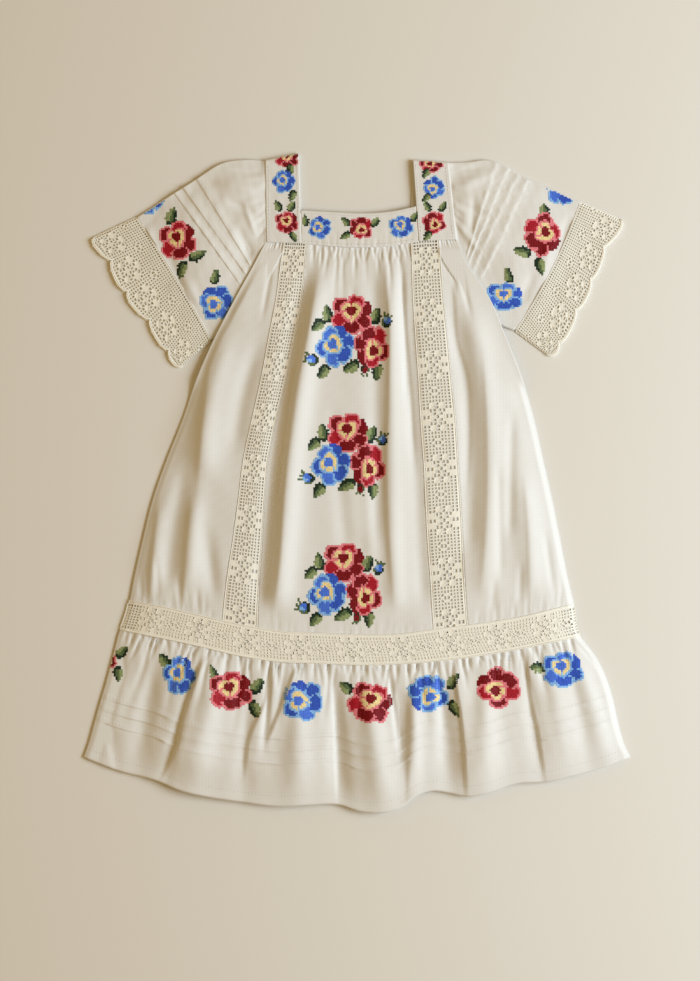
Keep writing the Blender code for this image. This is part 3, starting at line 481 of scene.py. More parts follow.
class DressSizes(bpy.types.PropertyGroup):
    """Sizes that someone who sews the dress would choose."""

    cloth_thickness: FloatProperty(
        name="Cloth thickness", description="Thickness of the cotton", default=0.45 * MM, unit="LENGTH")
    band_thickness: FloatProperty(
        name="Yoke thickness", description="Thickness of the doubled yoke", default=0.75 * MM, unit="LENGTH")
    cloth_step: FloatProperty(
        name="Cloth grid", description="Spacing of the mesh across the cloth", default=1.5 * MM,
        unit="LENGTH")
    lace_bar: FloatProperty(
        name="Lace bar", description="Share of a square that its threads cover on each side",
        default=0.29, min=0.05, max=0.4)
    edging_bar: FloatProperty(
        name="Edging bar", description="The same share in the lace of the sleeves", default=0.31,
        min=0.05, max=0.4)
    hidden_bar: FloatProperty(
        name="Hidden bar", description="The same share in the lace that lies under other lace", default=0.4,
        min=0.05, max=0.45)
    lace_thickness: FloatProperty(
        name="Lace thickness", description="Thickness of the lace", default=0.24 * MM, unit="LENGTH")
    stitch: FloatProperty(
        name="Cross stitch", description="Size of one cross stitch", default=1.4 * MM, unit="LENGTH")
    yoke_stitch: FloatProperty(
        name="Yoke cross stitch", description="Size of one cross stitch on the yoke", default=1.15 * MM,
        unit="LENGTH")
    stitch_height: FloatProperty(
        name="Stitch height", description="How far a cross stitch stands off the cloth", default=0.42 * MM,
        unit="LENGTH")
    flounce_gathers: IntProperty(
        name="Flounce gathers", description="Gathers under the lace band", default=52, min=10)
    yoke_gathers: IntProperty(
        name="Yoke gathers", description="Gathers under the neck band", default=23, min=4)


class DressColours(bpy.types.PropertyGroup):
    """Colours of the dress and what it lies on."""

    cotton: FloatVectorProperty(
        name="Cotton", description="Cream cotton", subtype="COLOR", size=3, default=(0.775, 0.78, 0.777))
    lace: FloatVectorProperty(
        name="Lace", description="Ecru cotton of the lace", subtype="COLOR", size=3,
        default=(0.89, 0.875, 0.81))
    floor: FloatVectorProperty(
        name="Floor", description="Warm pale surface", subtype="COLOR", size=3, default=(0.79, 0.775, 0.73))
    light: FloatVectorProperty(
        name="Light", description="Soft daylight from the right", subtype="COLOR", size=3,
        default=(0.76, 0.885, 1.0))
    room: FloatVectorProperty(
        name="Room", description="Warm light from the room", subtype="COLOR", size=3,
        default=(1.0, 0.675, 0.28))


def smooth_step(value, low, high):
    """0 below low, 1 above high, and a soft slope between."""
    share = np.clip((np.asarray(value, float) - low) / (high - low), 0.0, 1.0)
    return share * share * (3.0 - 2.0 * share)


def soft_fall(value, low, high):
    """1 below low, 0 above high, and a soft slope between."""
    return 1.0 - smooth_step(value, low, high)


def hump(value, start, full, end, gone):
    """Rises softly from start to full, and falls from end to gone."""
    return smooth_step(value, start, full) * soft_fall(value, end, gone)


def bell(value, width):
    return np.exp(-((value / width) ** 2))


def shares(count):
    return np.linspace(0.0, 1.0, count)


def as_points(x, y, z):
    return np.stack([x, y, z], axis=1)


def along(table, key, value, by):
    """The smooth curve through a table's column, read at values of its column named by."""
    places = np.asarray(table[by], float)
    heights = np.asarray(table[key], float)
    if places[0] > places[-1]:
        places, heights = places[::-1], heights[::-1]
    value = np.clip(np.asarray(value, float), places[0], places[-1])
    cell = np.clip(np.searchsorted(places, value) - 1, 0, len(places) - 2)
    width = places[cell + 1] - places[cell]
    share = (value - places[cell]) / width
    slopes = np.gradient(heights, places)
    start = (1 + 2 * share) * (1 - share) ** 2 * heights[cell]
    start_slope = share * (1 - share) ** 2 * width * slopes[cell]
    end = share**2 * (3 - 2 * share) * heights[cell + 1]
    end_slope = share**2 * (share - 1) * width * slopes[cell + 1]
    return start + start_slope + end + end_slope


def body_edge(name, y):
    return along(BODY_EDGES, name, y, "y")


def yoke_seam(x):
    return along(YOKE_SEAM, "y", x, "x")


def band_edge(name, x):
    return along(LACE_BAND, name, x, "x")


def hem_line(x):
    return along(HEM, "y", x, "x")


def neck_band_top(x):
    return along(NECK_BAND, "top", x, "x")


def side_edge(side, y):
    """Outer edge of the front at any height, from the yoke to the hem."""
    body = body_edge("side_" + side, y)
    flounce = along(FLOUNCE_SIDES, side, y, "y")
    return np.where(np.asarray(y) > FLOUNCE_SIDES["y"][0], body, flounce)


WIDTH_EDGES = (partial(side_edge, "left"), partial(side_edge, "right"))


def armhole_edge(side, y):
    lap = ARMHOLE_LAP * hump(y, UNDERARM_Y - 14.0, UNDERARM_Y, ARMHOLE_TOP_Y - 15.0, ARMHOLE_TOP_Y)
    return side_edge(side, y) + INWARD[side] * lap


def plan_point(u, v, left, right, top, bottom):
    """The place in a panel between two side edges, read at y, and two seams, read at x."""
    u, v = np.asarray(u, float), np.asarray(v, float)
    y = np.zeros_like(u)
    x = left(y) + u * (right(y) - left(y))
    for _ in range(6):
        y = top(x) + v * (bottom(x) - top(x))
        x = left(y) + u * (right(y) - left(y))
    return x, y


def soft_noise(x, y, size, seed):
    """A smooth uneven field from a few crossed waves, from about -1 to 1."""
    total = 0.0
    for number in range(4):
        angle = seed * 1.7 + number * 2.4
        wave = (x * math.cos(angle) + y * math.sin(angle)) * 2 * math.pi / (size * (0.7 + 0.3 * number))
        total = total + np.sin(wave + seed * 3.1 + number * 1.3)
    return total / 3.0


def line_fold(x, y, start, end, half_width, height):
    """A soft crease along a straight line, which fades at its ends."""
    run_x, run_y = end[0] - start[0], end[1] - start[1]
    length = math.hypot(run_x, run_y)
    along_it = ((x - start[0]) * run_x + (y - start[1]) * run_y) / length
    across = ((x - start[0]) * run_y - (y - start[1]) * run_x) / length
    ends = min(0.35 * length, 22.0)
    fade = hump(along_it, -3.0, ends, length - ends, length + 3.0)
    return height * fade * bell(across, half_width)


def crisp_fold(x, y, line, sharp, soft, height):
    """A fold with a sharp flank on its left and a soft slope on its right, which fades at its ends."""
    places = {"y": tuple(point[1] for point in line[::-1]), "x": tuple(point[0] for point in line[::-1])}
    foot, top = line[-1][1], line[0][1]
    past = x - along(places, "x", y, "y")
    ends = 0.22 * (top - foot)
    fade = hump(y, foot - 2.0, foot + ends, top - ends, top + 2.0)
    return height * fade * bell(past, np.where(past < 0.0, sharp, soft))


def body_folds(x, y):
    total = 0.0
    for _, top, middle, foot, half_width, height in BODY_FOLDS:
        places = {"y": (foot[1], middle[1], top[1]), "x": (foot[0], middle[0], top[0])}
        fade = hump(y, foot[1] - 4.0, foot[1] + 26.0, top[1] - 36.0, top[1] + 4.0)
        total = total + height * fade * bell(x - along(places, "x", y, "y"), half_width)
    return total


def side_inside(x, y):
    """How far a place is inside the front's nearer side edge."""
    return np.maximum(np.minimum(x - side_edge("left", y), side_edge("right", y) - x), 0.0)


def front_floor(x, y):
    """The lowest that the front's underside may lie: over the sleeves beside the armholes."""
    inside = side_inside(x, y)
    over = smooth_step(y, *OVER_SLEEVE) * smooth_step(yoke_seam(x) - y, 0.0, YOKE_LIFT)
    floor = FRONT_REST + (ARMHOLE_REST - FRONT_REST) * over
    return np.where((inside > SLEEVE_REACH) | (y < UNDERARM_Y - SLEEVE_DEPTH), FRONT_REST, floor)


def front_underside(x, y):
    """Underside of the body's front, close to its solids'."""
    inside = side_inside(x, y)
    rim = FRONT_REST + (ARMHOLE_REST - FRONT_REST) * smooth_step(y, *OVER_SLEEVE)
    yoke = soft_fall(yoke_seam(x) - y, 0.0, YOKE_LIFT)
    rim = rim + (YOKE_REST - rim) * yoke
    loft = YOKE_REST + (BODY_LOFT - YOKE_REST) * smooth_step(yoke_seam(x) - y, 0.0, 70.0)
    band = smooth_step(y - band_edge("top", x), 0.0, 30.0)
    loft = BAND_LOFT + (loft - BAND_LOFT) * band
    roll = 1.0 - bell(inside, SIDE_ROLL)
    calm = 0.84 - 0.3 * smooth_step(x, -45.0, 0.0)
    height = rim + (loft + body_folds(x, y) * calm * band - rim) * roll
    return np.maximum(height, front_floor(x, y))


def flounce_share(x, y):
    top = band_edge("bottom", x)
    return np.clip((y - top) / (hem_line(x) - top), 0.0, 1.0)


def flounce_underside(x, y):
    v = flounce_share(x, y)
    total = 0.0
    for _, band_x, hem_x, half_width, height, reach in FLOUNCE_FOLDS:
        centre = band_x + (hem_x - band_x) * v**0.85
        width = half_width * (0.45 + 0.55 * v)
        fade = smooth_step(v, 0.02, 0.45)
        if reach < 1.0:
            fade = hump(v, 0.0, 0.2, reach - 0.3, reach)
        total = total + height * fade * bell(x - centre, width)
    total = total * (0.82 - 0.3 * smooth_step(x, 90.0, 150.0))
    roll = 1.0 - bell(side_inside(x, y), SIDE_ROLL)
    loft = BAND_LOFT + (BODY_LOFT - BAND_LOFT) * smooth_step(v, 0.0, 0.4)
    return np.maximum(FRONT_REST + (loft + total - FRONT_REST) * roll, FRONT_REST)


def gather_run(x, distance, places, drift, depth, reach, seed, splay):
    """Gathers below or above a seam: narrow troughs of uneven length that widen and fade away from it.

    places are the troughs' x on the seam, drift how much each leans per millimetre, distance how far
    each point is from the seam, and splay how unlike each other their leans are.
    """
    rng = np.random.RandomState(seed)
    total = np.zeros_like(x)
    for place, lean in zip(places, drift):
        length = reach * (0.3 + 0.7 * rng.rand() ** 1.5)
        deep = depth * (0.35 + 0.65 * rng.rand())
        start = 0.5 + 0.6 * rng.rand() ** 2
        width = start + 0.05 * distance
        lean = lean + splay * (rng.rand() - 0.5)
        wander = 0.5 * np.sin(distance * (0.09 + 0.05 * rng.rand()) + 6.0 * rng.rand())
        fade = hump(distance, -1.0, 0.9, 0.15 * length, length)
        total = total - deep * fade * bell(x - place - lean * distance - wander, width)
    return total


def uneven_places(low, high, count, seed):
    rng = np.random.RandomState(seed)
    steps = 0.55 + 0.9 * rng.rand(count + 1)
    return low + (high - low) * np.cumsum(steps)[:-1] / steps.sum()


def gather_rows(x, distance, rows, chosen):
    """The gathers of one of the tables of rows, chosen being how many there are where a row doesn't say."""
    total = np.zeros_like(x)
    for low, high, count, place_seed, shift, middle, lean, depth, reach, seed, splay in rows:
        places = uneven_places(low, high, count or chosen, place_seed)
        drift = (places - middle) * lean
        total = total + gather_run(x, distance, places + shift, drift, depth, reach, seed, splay)
    return total


def body_gathers(x, y):
    """Gathers under the yoke and a few small ones over the lace band."""
    from_yoke = np.maximum(yoke_seam(x) - y, 0.0)
    from_band = np.maximum(y - band_edge("top", x), 0.0)
    chosen = sizes().yoke_gathers
    return gather_rows(x, from_yoke, YOKE_GATHERS, chosen) + gather_rows(x, from_band, BAND_GATHERS, chosen)


def fine_creases(x, y):
    total = 0.0
    for start, end, half_width, height in SIDE_CREASES:
        total = total + line_fold(x, y, start, end, half_width, height)
    calm = 1.0 - 0.35 * smooth_step(x, -45.0, 0.0)
    for line, sharp, soft, height in BODY_CRISP_FOLDS:
        total = total + calm * crisp_fold(x, y, line, sharp, soft, height)
    return total + 0.16 * soft_noise(x, y, 34.0, 2) + 0.06 * soft_noise(x, y, 11.0, 5)


def broad_lean(x, y):
    """How the left of the front slopes away from its middle."""
    return 2.2 * smooth_step(x - side_edge("left", y), 6.0, 78.0)


def body_lean(x, y):
    return broad_lean(x, y) * smooth_step(yoke_seam(x) - y, 0.0, 90.0)


def rim_fall(x, y, height):
    """Lets the front's side edge come down to meet the back, below the sleeves."""
    inside = side_inside(x, y)
    fall = soft_fall(inside, 0.0, 5.0) * soft_fall(y, 60.0, 86.0)
    return height + (RIM_TOP - height) * fall


def body_top(x, y):
    """Top of the front's cotton."""
    low = front_underside(x, y)
    relief = body_gathers(x, y) + fine_creases(x, y)
    calm = smooth_step(side_inside(x, y), 0.0, 8.0)
    height = np.maximum(low + relief * calm, front_floor(x, y)) + CLOTH_WALL
    return rim_fall(x, y, height + body_lean(x, y))


def lace_top(x, y):
    """Top of the insertions and of the front's lace band."""
    height = front_underside(x, y) + LACE_WALL + 0.12 * soft_noise(x, y, 26.0, 7)
    return rim_fall(x, y, height + body_lean(x, y))


def tuck_relief(distance, line, height, width):
    """One pin tuck: a fold that stands up from a soft slope and drops at its edge."""
    from_edge = distance - line
    return height * hump(from_edge, -0.25, 0.25, 0.4, width)


def flounce_top(x, y):
    """Top of the front flounce, with its gathers, its tucks and its hem."""
    from_band = np.maximum(band_edge("bottom", x) - y, 0.0)
    from_hem = np.maximum(y - hem_line(x), 0.0)
    relief = gather_rows(x, from_band, FLOUNCE_GATHERS, sizes().flounce_gathers)
    for line, sharp, soft, height in FLOUNCE_CRISP_FOLDS:
        relief = relief + crisp_fold(x, y, line, sharp, soft, height)
    relief = relief + 0.2 * soft_noise(x, y, 30.0, 3) + 0.07 * soft_noise(x, y, 9.0, 8)
    calm = smooth_step(side_inside(x, y), 0.0, 8.0)
    # The flounce's left end sinks away below its gathers
    sunk = 4.2 * soft_fall(x - side_edge("left", y), 8.0, 74.0) * smooth_step(from_band, 6.0, 46.0)
    height = flounce_underside(x, y) + relief * calm + broad_lean(x, y) - sunk
    # Its folds lie flatter towards the hem
    droop = 1.0 - 0.6 * soft_fall(from_hem, 0.0, 34.0)
    height = np.maximum(FRONT_REST + (height - FRONT_REST) * droop, FRONT_REST) + CLOTH_WALL
    worn = 0.58 + 0.24 * soft_noise(x, y, 21.0, 12)
    for line in TUCK_LINES:
        height = height + tuck_relief(from_hem, line, worn, 4.6) * smooth_step(side_inside(x, y), 0.0, 3.0)
    height = height + 0.2 * soft_fall(from_hem, 0.0, 9.0) * smooth_step(from_hem, 0.0, 0.6)
    return rim_fall(x, y, height)


def strap_line(side, edge, way):
    """A strap's edge as plan points, way 0 at the front seam, 1 on the shoulder and 2 at the back seam."""
    strap = STRAPS[side]
    way = np.asarray(way, float)
    foot, shoulder = strap["foot"][edge], strap["shoulder"][edge]
    foot_y, shoulder_y = strap["foot_y"][edge], strap["shoulder_y"][edge]
    front_share = np.minimum(way, 1.0)
    back_share = np.maximum(way - 1.0, 0.0)
    x = foot + (shoulder - foot) * front_share + (foot - shoulder + strap["back_slant"]) * back_share
    y = foot_y + (shoulder_y - foot_y) * front_share + (BACK_YOKE_SEAM_Y - shoulder_y) * back_share
    return x, y


def strap_inner_x(side, y, leg):
    foot = strap_line(side, 1, 0.0 if leg == "front" else 2.0)
    shoulder = strap_line(side, 1, 1.0)
    return foot[0] + (shoulder[0] - foot[0]) * (y - foot[1]) / (shoulder[1] - foot[1])


def armhole_end(side, way):
    """Where a line across the sleeve starts at the armhole, at the share of the way from cuff to strap."""
    y = along(SLEEVES[side], "end_y", way, "way")
    out = SEAM_GAP + np.interp(way, SLEEVES[side]["way"], SLEEVES[side]["end_out"])
    return armhole_edge(side, y) - INWARD[side] * out, y


def sleeve_span(side, way):
    """Both ends of a line across the sleeve: x and y at the armhole, then how far away the top fold is."""
    end_x, end_y = armhole_end(side, way)
    span_x = along(SLEEVES[side], "fold_x", way, "way") - end_x
    span_y = along(SLEEVES[side], "fold_y", way, "way") - end_y
    return end_x, end_y, span_x, span_y


def sleeve_plan(side, way, share):
    """Plan of the sleeve: share 0 at the armhole end, 1 at the top fold."""
    end_x, end_y, span_x, span_y = sleeve_span(side, way)
    bow = SLEEVES[side]["seam_bow"] * 4.0 * share * (1.0 - share) * soft_fall(way, 0.0, 0.5)
    bow = INWARD[side] * bow / np.hypot(span_x, span_y)
    return end_x + span_x * share - span_y * bow, end_y + span_y * share + span_x * bow


def sleeve_width(side, way):
    return np.hypot(*sleeve_span(side, way)[2:])


def sizes():
    return bpy.context.scene.dress_sizes


def linked(name, data):
    """A new object in the scene."""
    obj = bpy.data.objects.new(name, data)
    bpy.context.scene.collection.objects.link(obj)
    return obj


def select_only(obj):
    bpy.ops.object.select_all(action="DESELECT")
    obj.select_set(True)
    bpy.context.view_layer.objects.active = obj


def finish_piece(obj, material, smooth=True):
    """Names what the piece rides on and gives it its finish."""
    obj.data.materials.append(material)
    if smooth:
        obj.data.shade_smooth()
    else:
        obj.data.shade_flat()
    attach(obj, BODY)
    return obj


def solidify(obj, thickness):
    """Give a sheet its thickness, on the side away from its highest face."""
    highest = max(obj.data.polygons, key=lambda face: face.center.z)
    if highest.normal.z < 0.0:
        obj.data.flip_normals()
    select_only(obj)
    wall = obj.modifiers.new("cloth thickness", "SOLIDIFY")
    wall.thickness = thickness
    wall.offset = -1.0
    wall.use_even_offset = False
    bpy.ops.object.modifier_apply(modifier=wall.name)


def new_grid(name, columns, rows):
    bpy.ops.object.select_all(action="DESELECT")
    bpy.ops.mesh.primitive_grid_add(x_subdivisions=columns, y_subdivisions=rows, size=1.0)
    obj = bpy.context.object
    obj.name = name
    obj.data.name = name
    return obj


def vertex_places(mesh):
    places = np.zeros(len(mesh.vertices) * 3)
    mesh.vertices.foreach_get("co", places)
    return places.reshape(-1, 3)


def move_vertices(mesh, x, y, z):
    """Puts a mesh's vertices at places in millimetres."""
    mesh.vertices.foreach_set("co", (as_points(x, y, z) * MM).ravel())
    mesh.update()


def sheet_grid(name, columns, rows, surface):
    """A grid of cloth: surface(u, v) gives x, y and z in millimetres where columns and rows cross."""
    obj = new_grid(name, len(columns) - 1, len(rows) - 1)
    places = vertex_places(obj.data)
    column = np.rint((places[:, 0] + 0.5) * (len(columns) - 1)).astype(int)
    row = np.rint((0.5 - places[:, 1]) * (len(rows) - 1)).astype(int)
    move_vertices(obj.data, *surface(np.asarray(columns, float)[column], np.asarray(rows, float)[row]))
    return obj


def steps_for(length_mm):
    return max(2, int(round(length_mm * MM / sizes().cloth_step)))


def chart_cells(chart, column, row):
    """Which cells of a chart are darned, the chart's middle cell being at column and row 0."""
    half_rows, half_columns = len(chart) // 2, len(chart[0]) // 2
    return {
        (column + c - half_columns, row + r - half_rows)
        for r, line in enumerate(chart)
        for c, mark in enumerate(line)
        if mark == "#"
    }


def filet_grid(name, columns, rows, darned, missing, surface, bar):
    """Filet lace: a net of squares with some darned, cut where missing says, bent by surface(u, v).

    bar(column, row) is the share of an open square that its threads cover on each side.
    """
    obj = new_grid(name, columns, rows)
    mesh = bmesh.new()
    mesh.from_mesh(obj.data)
    for vertex in mesh.verts:
        vertex.co = ((vertex.co.x + 0.5) * columns, (0.5 - vertex.co.y) * rows, NET_HEIGHT)
    gone, filled, rims = [], set(), {}
    for face in mesh.faces:
        middle = face.calc_center_median()
        square = (int(middle.x), int(middle.y))
        if missing(*square):
            gone.append(face)
        elif darned(*square):
            filled.add(face)
        else:
            rims.setdefault(bar(*square), []).append(face)
    for vertex in mesh.verts:
        vertex.co.z += DARNING_HEIGHT * sum(face in filled for face in vertex.link_faces) / 4.0
    for width, faces in sorted(rims.items()):
        bmesh.ops.inset_individual(mesh, faces=faces, thickness=width, use_even_offset=False)
        gone += faces
    bmesh.ops.delete(mesh, geom=gone, context="FACES")
    mesh.to_mesh(obj.data)
    mesh.free()
    places = vertex_places(obj.data)
    x, y, z = surface(places[:, 0] / columns, places[:, 1] / rows)
    move_vertices(obj.data, x, y, z + places[:, 2])
    return obj


def sewn_cords(name, lines, radius, material, sides=1):
    """Cords, pipings and rolled edges that lie along lines of points in millimetres, as one mesh."""
    curve = bpy.data.curves.new(name, "CURVE")
    curve.dimensions = "3D"
    curve.bevel_depth = radius * MM
    curve.bevel_resolution = sides
    curve.use_fill_caps = True
    for line in lines:
        spline = curve.splines.new("POLY")
        spline.points.add(len(line) - 1)
        for point, place in zip(spline.points, line):
            point.co = (place[0] * MM, place[1] * MM, place[2] * MM, 1.0)
    select_only(linked(name, curve))
    bpy.ops.object.convert(target="MESH")
    return finish_piece(bpy.context.object, material)


def running_stitches(name, lines, material):
    """Machine stitches along lines of points in millimetres: each a short raised thread."""
    threads = []
    for line in lines:
        line = np.asarray(line, float)
        steps = np.linalg.norm(np.diff(line, axis=0), axis=1)
        way = np.concatenate([[0.0], np.cumsum(steps)])
        for start in np.arange(0.0, way[-1] - STITCH_LENGTH, STITCH_LENGTH + STITCH_GAP):
            spots = start + np.array([0.0, 0.3, 0.7, 1.0]) * STITCH_LENGTH
            points = np.stack([np.interp(spots, way, line[:, axis]) for axis in range(3)], axis=1)
            points[:, 2] += (-0.1, 0.14, 0.14, -0.1)
            threads.append(points)
    return sewn_cords(name, threads, SEWING_THREAD, material, sides=0)


def srgb(colour):
    return tuple(c / 12.92 if c <= 0.04045 else ((c + 0.055) / 1.055) ** 2.4 for c in colour)


def new_material(name, roughness, shine):
    made = bpy.data.materials.new(name)
    made.use_nodes = True
    shader = made.node_tree.nodes["Principled BSDF"]
    set_inputs(made, shader, {"Roughness": roughness, "Specular IOR Level": shine})
    return made, shader


def set_inputs(made, node, inputs):
    """Sets a shader node's inputs, each to a value or to another node's output."""
    for key, value in inputs.items():
        if isinstance(value, bpy.types.NodeSocket):
            made.node_tree.links.new(value, node.inputs[key])
        else:
            node.inputs[key].default_value = value


def add_node(made, kind, output, inputs, **settings):
    """Adds a shader node and gives back one of its outputs."""
    node = made.node_tree.nodes.new("ShaderNode" + kind)
    for key, value in settings.items():
        setattr(node, key, value)
    set_inputs(made, node, inputs)
    return node.outputs[output]


def woven_material(name, colour, thread, roughness, tint, sheen):
    """Plain-woven cotton: crossed threads, slubs and a slight unevenness of colour, on Object coordinates."""
    made, shader = new_material(name, roughness, 0.25)
    place = add_node(made, "TexCoord", "Object", {})
    wave = {"Scale": 1.0 / (thread * WAVE_TURN), "Distortion": 1.2, "Detail": 1.0, "Detail Scale": 1.4,
            "Vector": place}
    warp = add_node(made, "TexWave", "Fac", wave, wave_type="BANDS", bands_direction="X")
    weft = add_node(made, "TexWave", "Fac", wave, wave_type="BANDS", bands_direction="Y")
    weave = add_node(made, "Math", "Value", {0: warp, 1: weft}, operation="MULTIPLY")
    stretched = add_node(made, "Mapping", "Vector", {"Scale": (0.22, 1.6, 1.0), "Vector": place})
    slubs = add_node(made, "TexNoise", "Fac", {"Scale": 160.0, "Detail": 4.0, "Vector": stretched})
    relief = add_node(made, "Math", "Value", {0: slubs, 1: 0.8, 2: weave}, operation="MULTIPLY_ADD")
    bump = add_node(made, "Bump", "Normal", {"Strength": 0.12, "Distance": 0.0002, "Height": relief})
    cloud = add_node(made, "TexNoise", "Fac", {"Scale": 14.0, "Detail": 3.0, "Vector": place})
    tinted = (*[c * t for c, t in zip(colour, tint)], 1.0)
    shades = add_node(made, "Mix", "Result", {"A": (*colour, 1.0), "B": tinted, "Factor": cloud},
                      data_type="RGBA")
    threads = add_node(made, "Mix", "Result", {"A": shades, "B": (0.975, 0.97, 0.96, 1.0), "Factor": relief},
                       data_type="RGBA", blend_type="MULTIPLY")
    set_inputs(made, shader, {"Normal": bump, "Base Color": threads,
                              "Sheen Weight": sheen, "Sheen Roughness": 0.5})
    return made


def thread_material():
    """Stranded embroidery cotton, coloured stitch by stitch by the mesh's own attribute."""
    made, shader = new_material("embroidery_cotton", 0.5, 0.2)
    dyed = add_node(made, "Attribute", "Color", {}, attribute_name="thread_colour")
    place = add_node(made, "TexCoord", "Object", {})
    uneven = add_node(made, "TexNoise", "Fac", {"Scale": 900.0, "Detail": 2.0, "Vector": place})
    strands = add_node(made, "Mix", "Result", {"A": dyed, "B": (0.72, 0.72, 0.74, 1.0), "Factor": uneven},
                       data_type="RGBA", blend_type="MULTIPLY")
    bump = add_node(made, "Bump", "Normal", {"Strength": 0.35, "Distance": 0.0001, "Height": uneven})
    set_inputs(made, shader, {"Normal": bump, "Base Color": strands})
    return made


def cotton():
    found = bpy.data.materials.get("cream_cotton_cloth")
    colour = tuple(bpy.context.scene.dress_colours.cotton)
    return found or woven_material("cream_cotton_cloth", colour, 0.00042, 0.82, (1.04, 1.03, 1.0), 0.25)


def lace_cotton():
    found = bpy.data.materials.get("filet_lace_cotton")
    colour = tuple(bpy.context.scene.dress_colours.lace)
    return found or woven_material("filet_lace_cotton", colour, 0.0005, 0.85, (1.03, 1.03, 1.0), 0.15)


def cloth_piece(name, node, columns, rows, surface, thickness):
    """A piece of cotton on a grid of columns and rows, in the place of one solid."""
    obj = sheet_grid(name, columns, rows, surface)
    solidify(obj, thickness)
    finish_piece(obj, cotton())
    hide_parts(node)
    return obj


def lace_piece(name, node, columns, rows, darned, surface, bar, missing=lambda column, row: False):
    """A piece of filet lace, in the place of one solid."""
    obj = filet_grid(name, columns, rows, darned, missing, surface, bar)
    solidify(obj, sizes().lace_thickness)
    finish_piece(obj, lace_cotton(), smooth=False)
    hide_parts(node)
    return obj


def front_panel(name, node, left, right, foot_width):
    """One gathered panel of the front, from the yoke seam to the lace band."""
    left_gap = 0.0 if left.startswith("side") else 0.1
    right_gap = 0.0 if right.startswith("side") else 0.1

    def surface(u, v):
        x, y = plan_point(u, v,
                          lambda y: body_edge(left, y) + left_gap, lambda y: body_edge(right, y) - right_gap,
                          lambda x: yoke_seam(x) + 0.6, lambda x: band_edge("top", x) - 0.2)
        return x, y, body_top(x, y)

    columns, rows = shares(steps_for(foot_width) + 1), shares(steps_for(PANEL_LENGTH) + 1)
    return cloth_piece(name, node, columns, rows, surface, sizes().cloth_thickness)


class DRESS_OT_front(bpy.types.Operator):
    """Make the gathered panels of the front"""

    bl_idname = "dress.front"
    bl_label = "Front panels"

    def execute(self, context):
        centre = front_panel("front_centre_cloth", "front_centre_panel",
                             "lace_left_inner", "lace_right_inner", 138.0)
        left = front_panel("front_left_cloth", "front_side_panel_left", "side_left", "lace_left_outer", 80.0)
        right = front_panel("front_right_cloth", "front_side_panel_right",
                            "lace_right_outer", "side_right", 86.0)
        return {"FINISHED"}


def back_top(x, y):
    """Top of the back, which comes up against the front's lace, so that its holes show cloth close below."""
    on_flounce = y < band_edge("bottom", x)
    off_lace = np.maximum(y - band_edge("top", x), band_edge("bottom", x) - y)
    for low, high in INSERTION_EDGES.values():
        beside = np.maximum(body_edge(low, y) - x, x - body_edge(high, y))
        off_lace = np.where(on_flounce, off_lace, np.minimum(off_lace, beside))
    cloth = np.where(on_flounce, flounce_top(x, y), body_top(x, y)) - CLOTH_WALL
    lace = lace_top(x, y) - UNDER_LACE
    under = smooth_step(off_lace, -1.2, 0.2)
    cover = lace * (1.0 - under) + np.minimum(cloth, lace) * under
    near = soft_fall(off_lace, -0.5, 5.0)
    open_ends = smooth_step(side_inside(x, y), 3.0, 13.0) * smooth_step(BACK_YOKE_SEAM_Y - y, 0.0, 5.0)
    flat = BACK_TOP + 0.1 * np.abs(soft_noise(x, y, 40.0, 6))
    return flat + np.maximum(cover - flat, 0.0) * near * open_ends


class DRESS_OT_insertions(bpy.types.Operator):
    """Make the two lace insertions between the front's panels"""

    bl_idname = "dress.insertions"
    bl_label = "Lace insertions"

    def execute(self, context):
        columns, rows, middle = 11, 120, 5
        worked = set()
        for row in range(6, rows, FLOWER_SPACING):
            worked |= chart_cells(STAR_FLOWER, middle, row)
            worked |= chart_cells(SMALL_RING, middle, row + FLOWER_SPACING // 2)
        for side, (left, right) in INSERTION_EDGES.items():

            def surface(u, v):
                x, y = plan_point(u, v,
                                  lambda y: body_edge(left, y) - 0.3, lambda y: body_edge(right, y) + 0.3,
                                  lambda x: yoke_seam(x) + 0.6, lambda x: band_edge("top", x) - 0.3)
                return x, y, lace_top(x, y)

            lace = lace_piece(f"insertion_{side}_lace", f"lace_insertion_{side}", columns, rows,
                              lambda c, r: (c, r) in worked or c in (0, columns - 1), surface,
                              lambda c, r: sizes().lace_bar)
            lines = []
            for share in (0.02, 0.98):
                x, y, z = surface(np.full(rows, share), shares(rows))
                lines.append(as_points(x, y, np.maximum(body_top(x, y), z) + 0.08))
            sewn_cords(f"insertion_{side}_edges", lines, SEAM_CORD, cotton())
        return {"FINISHED"}


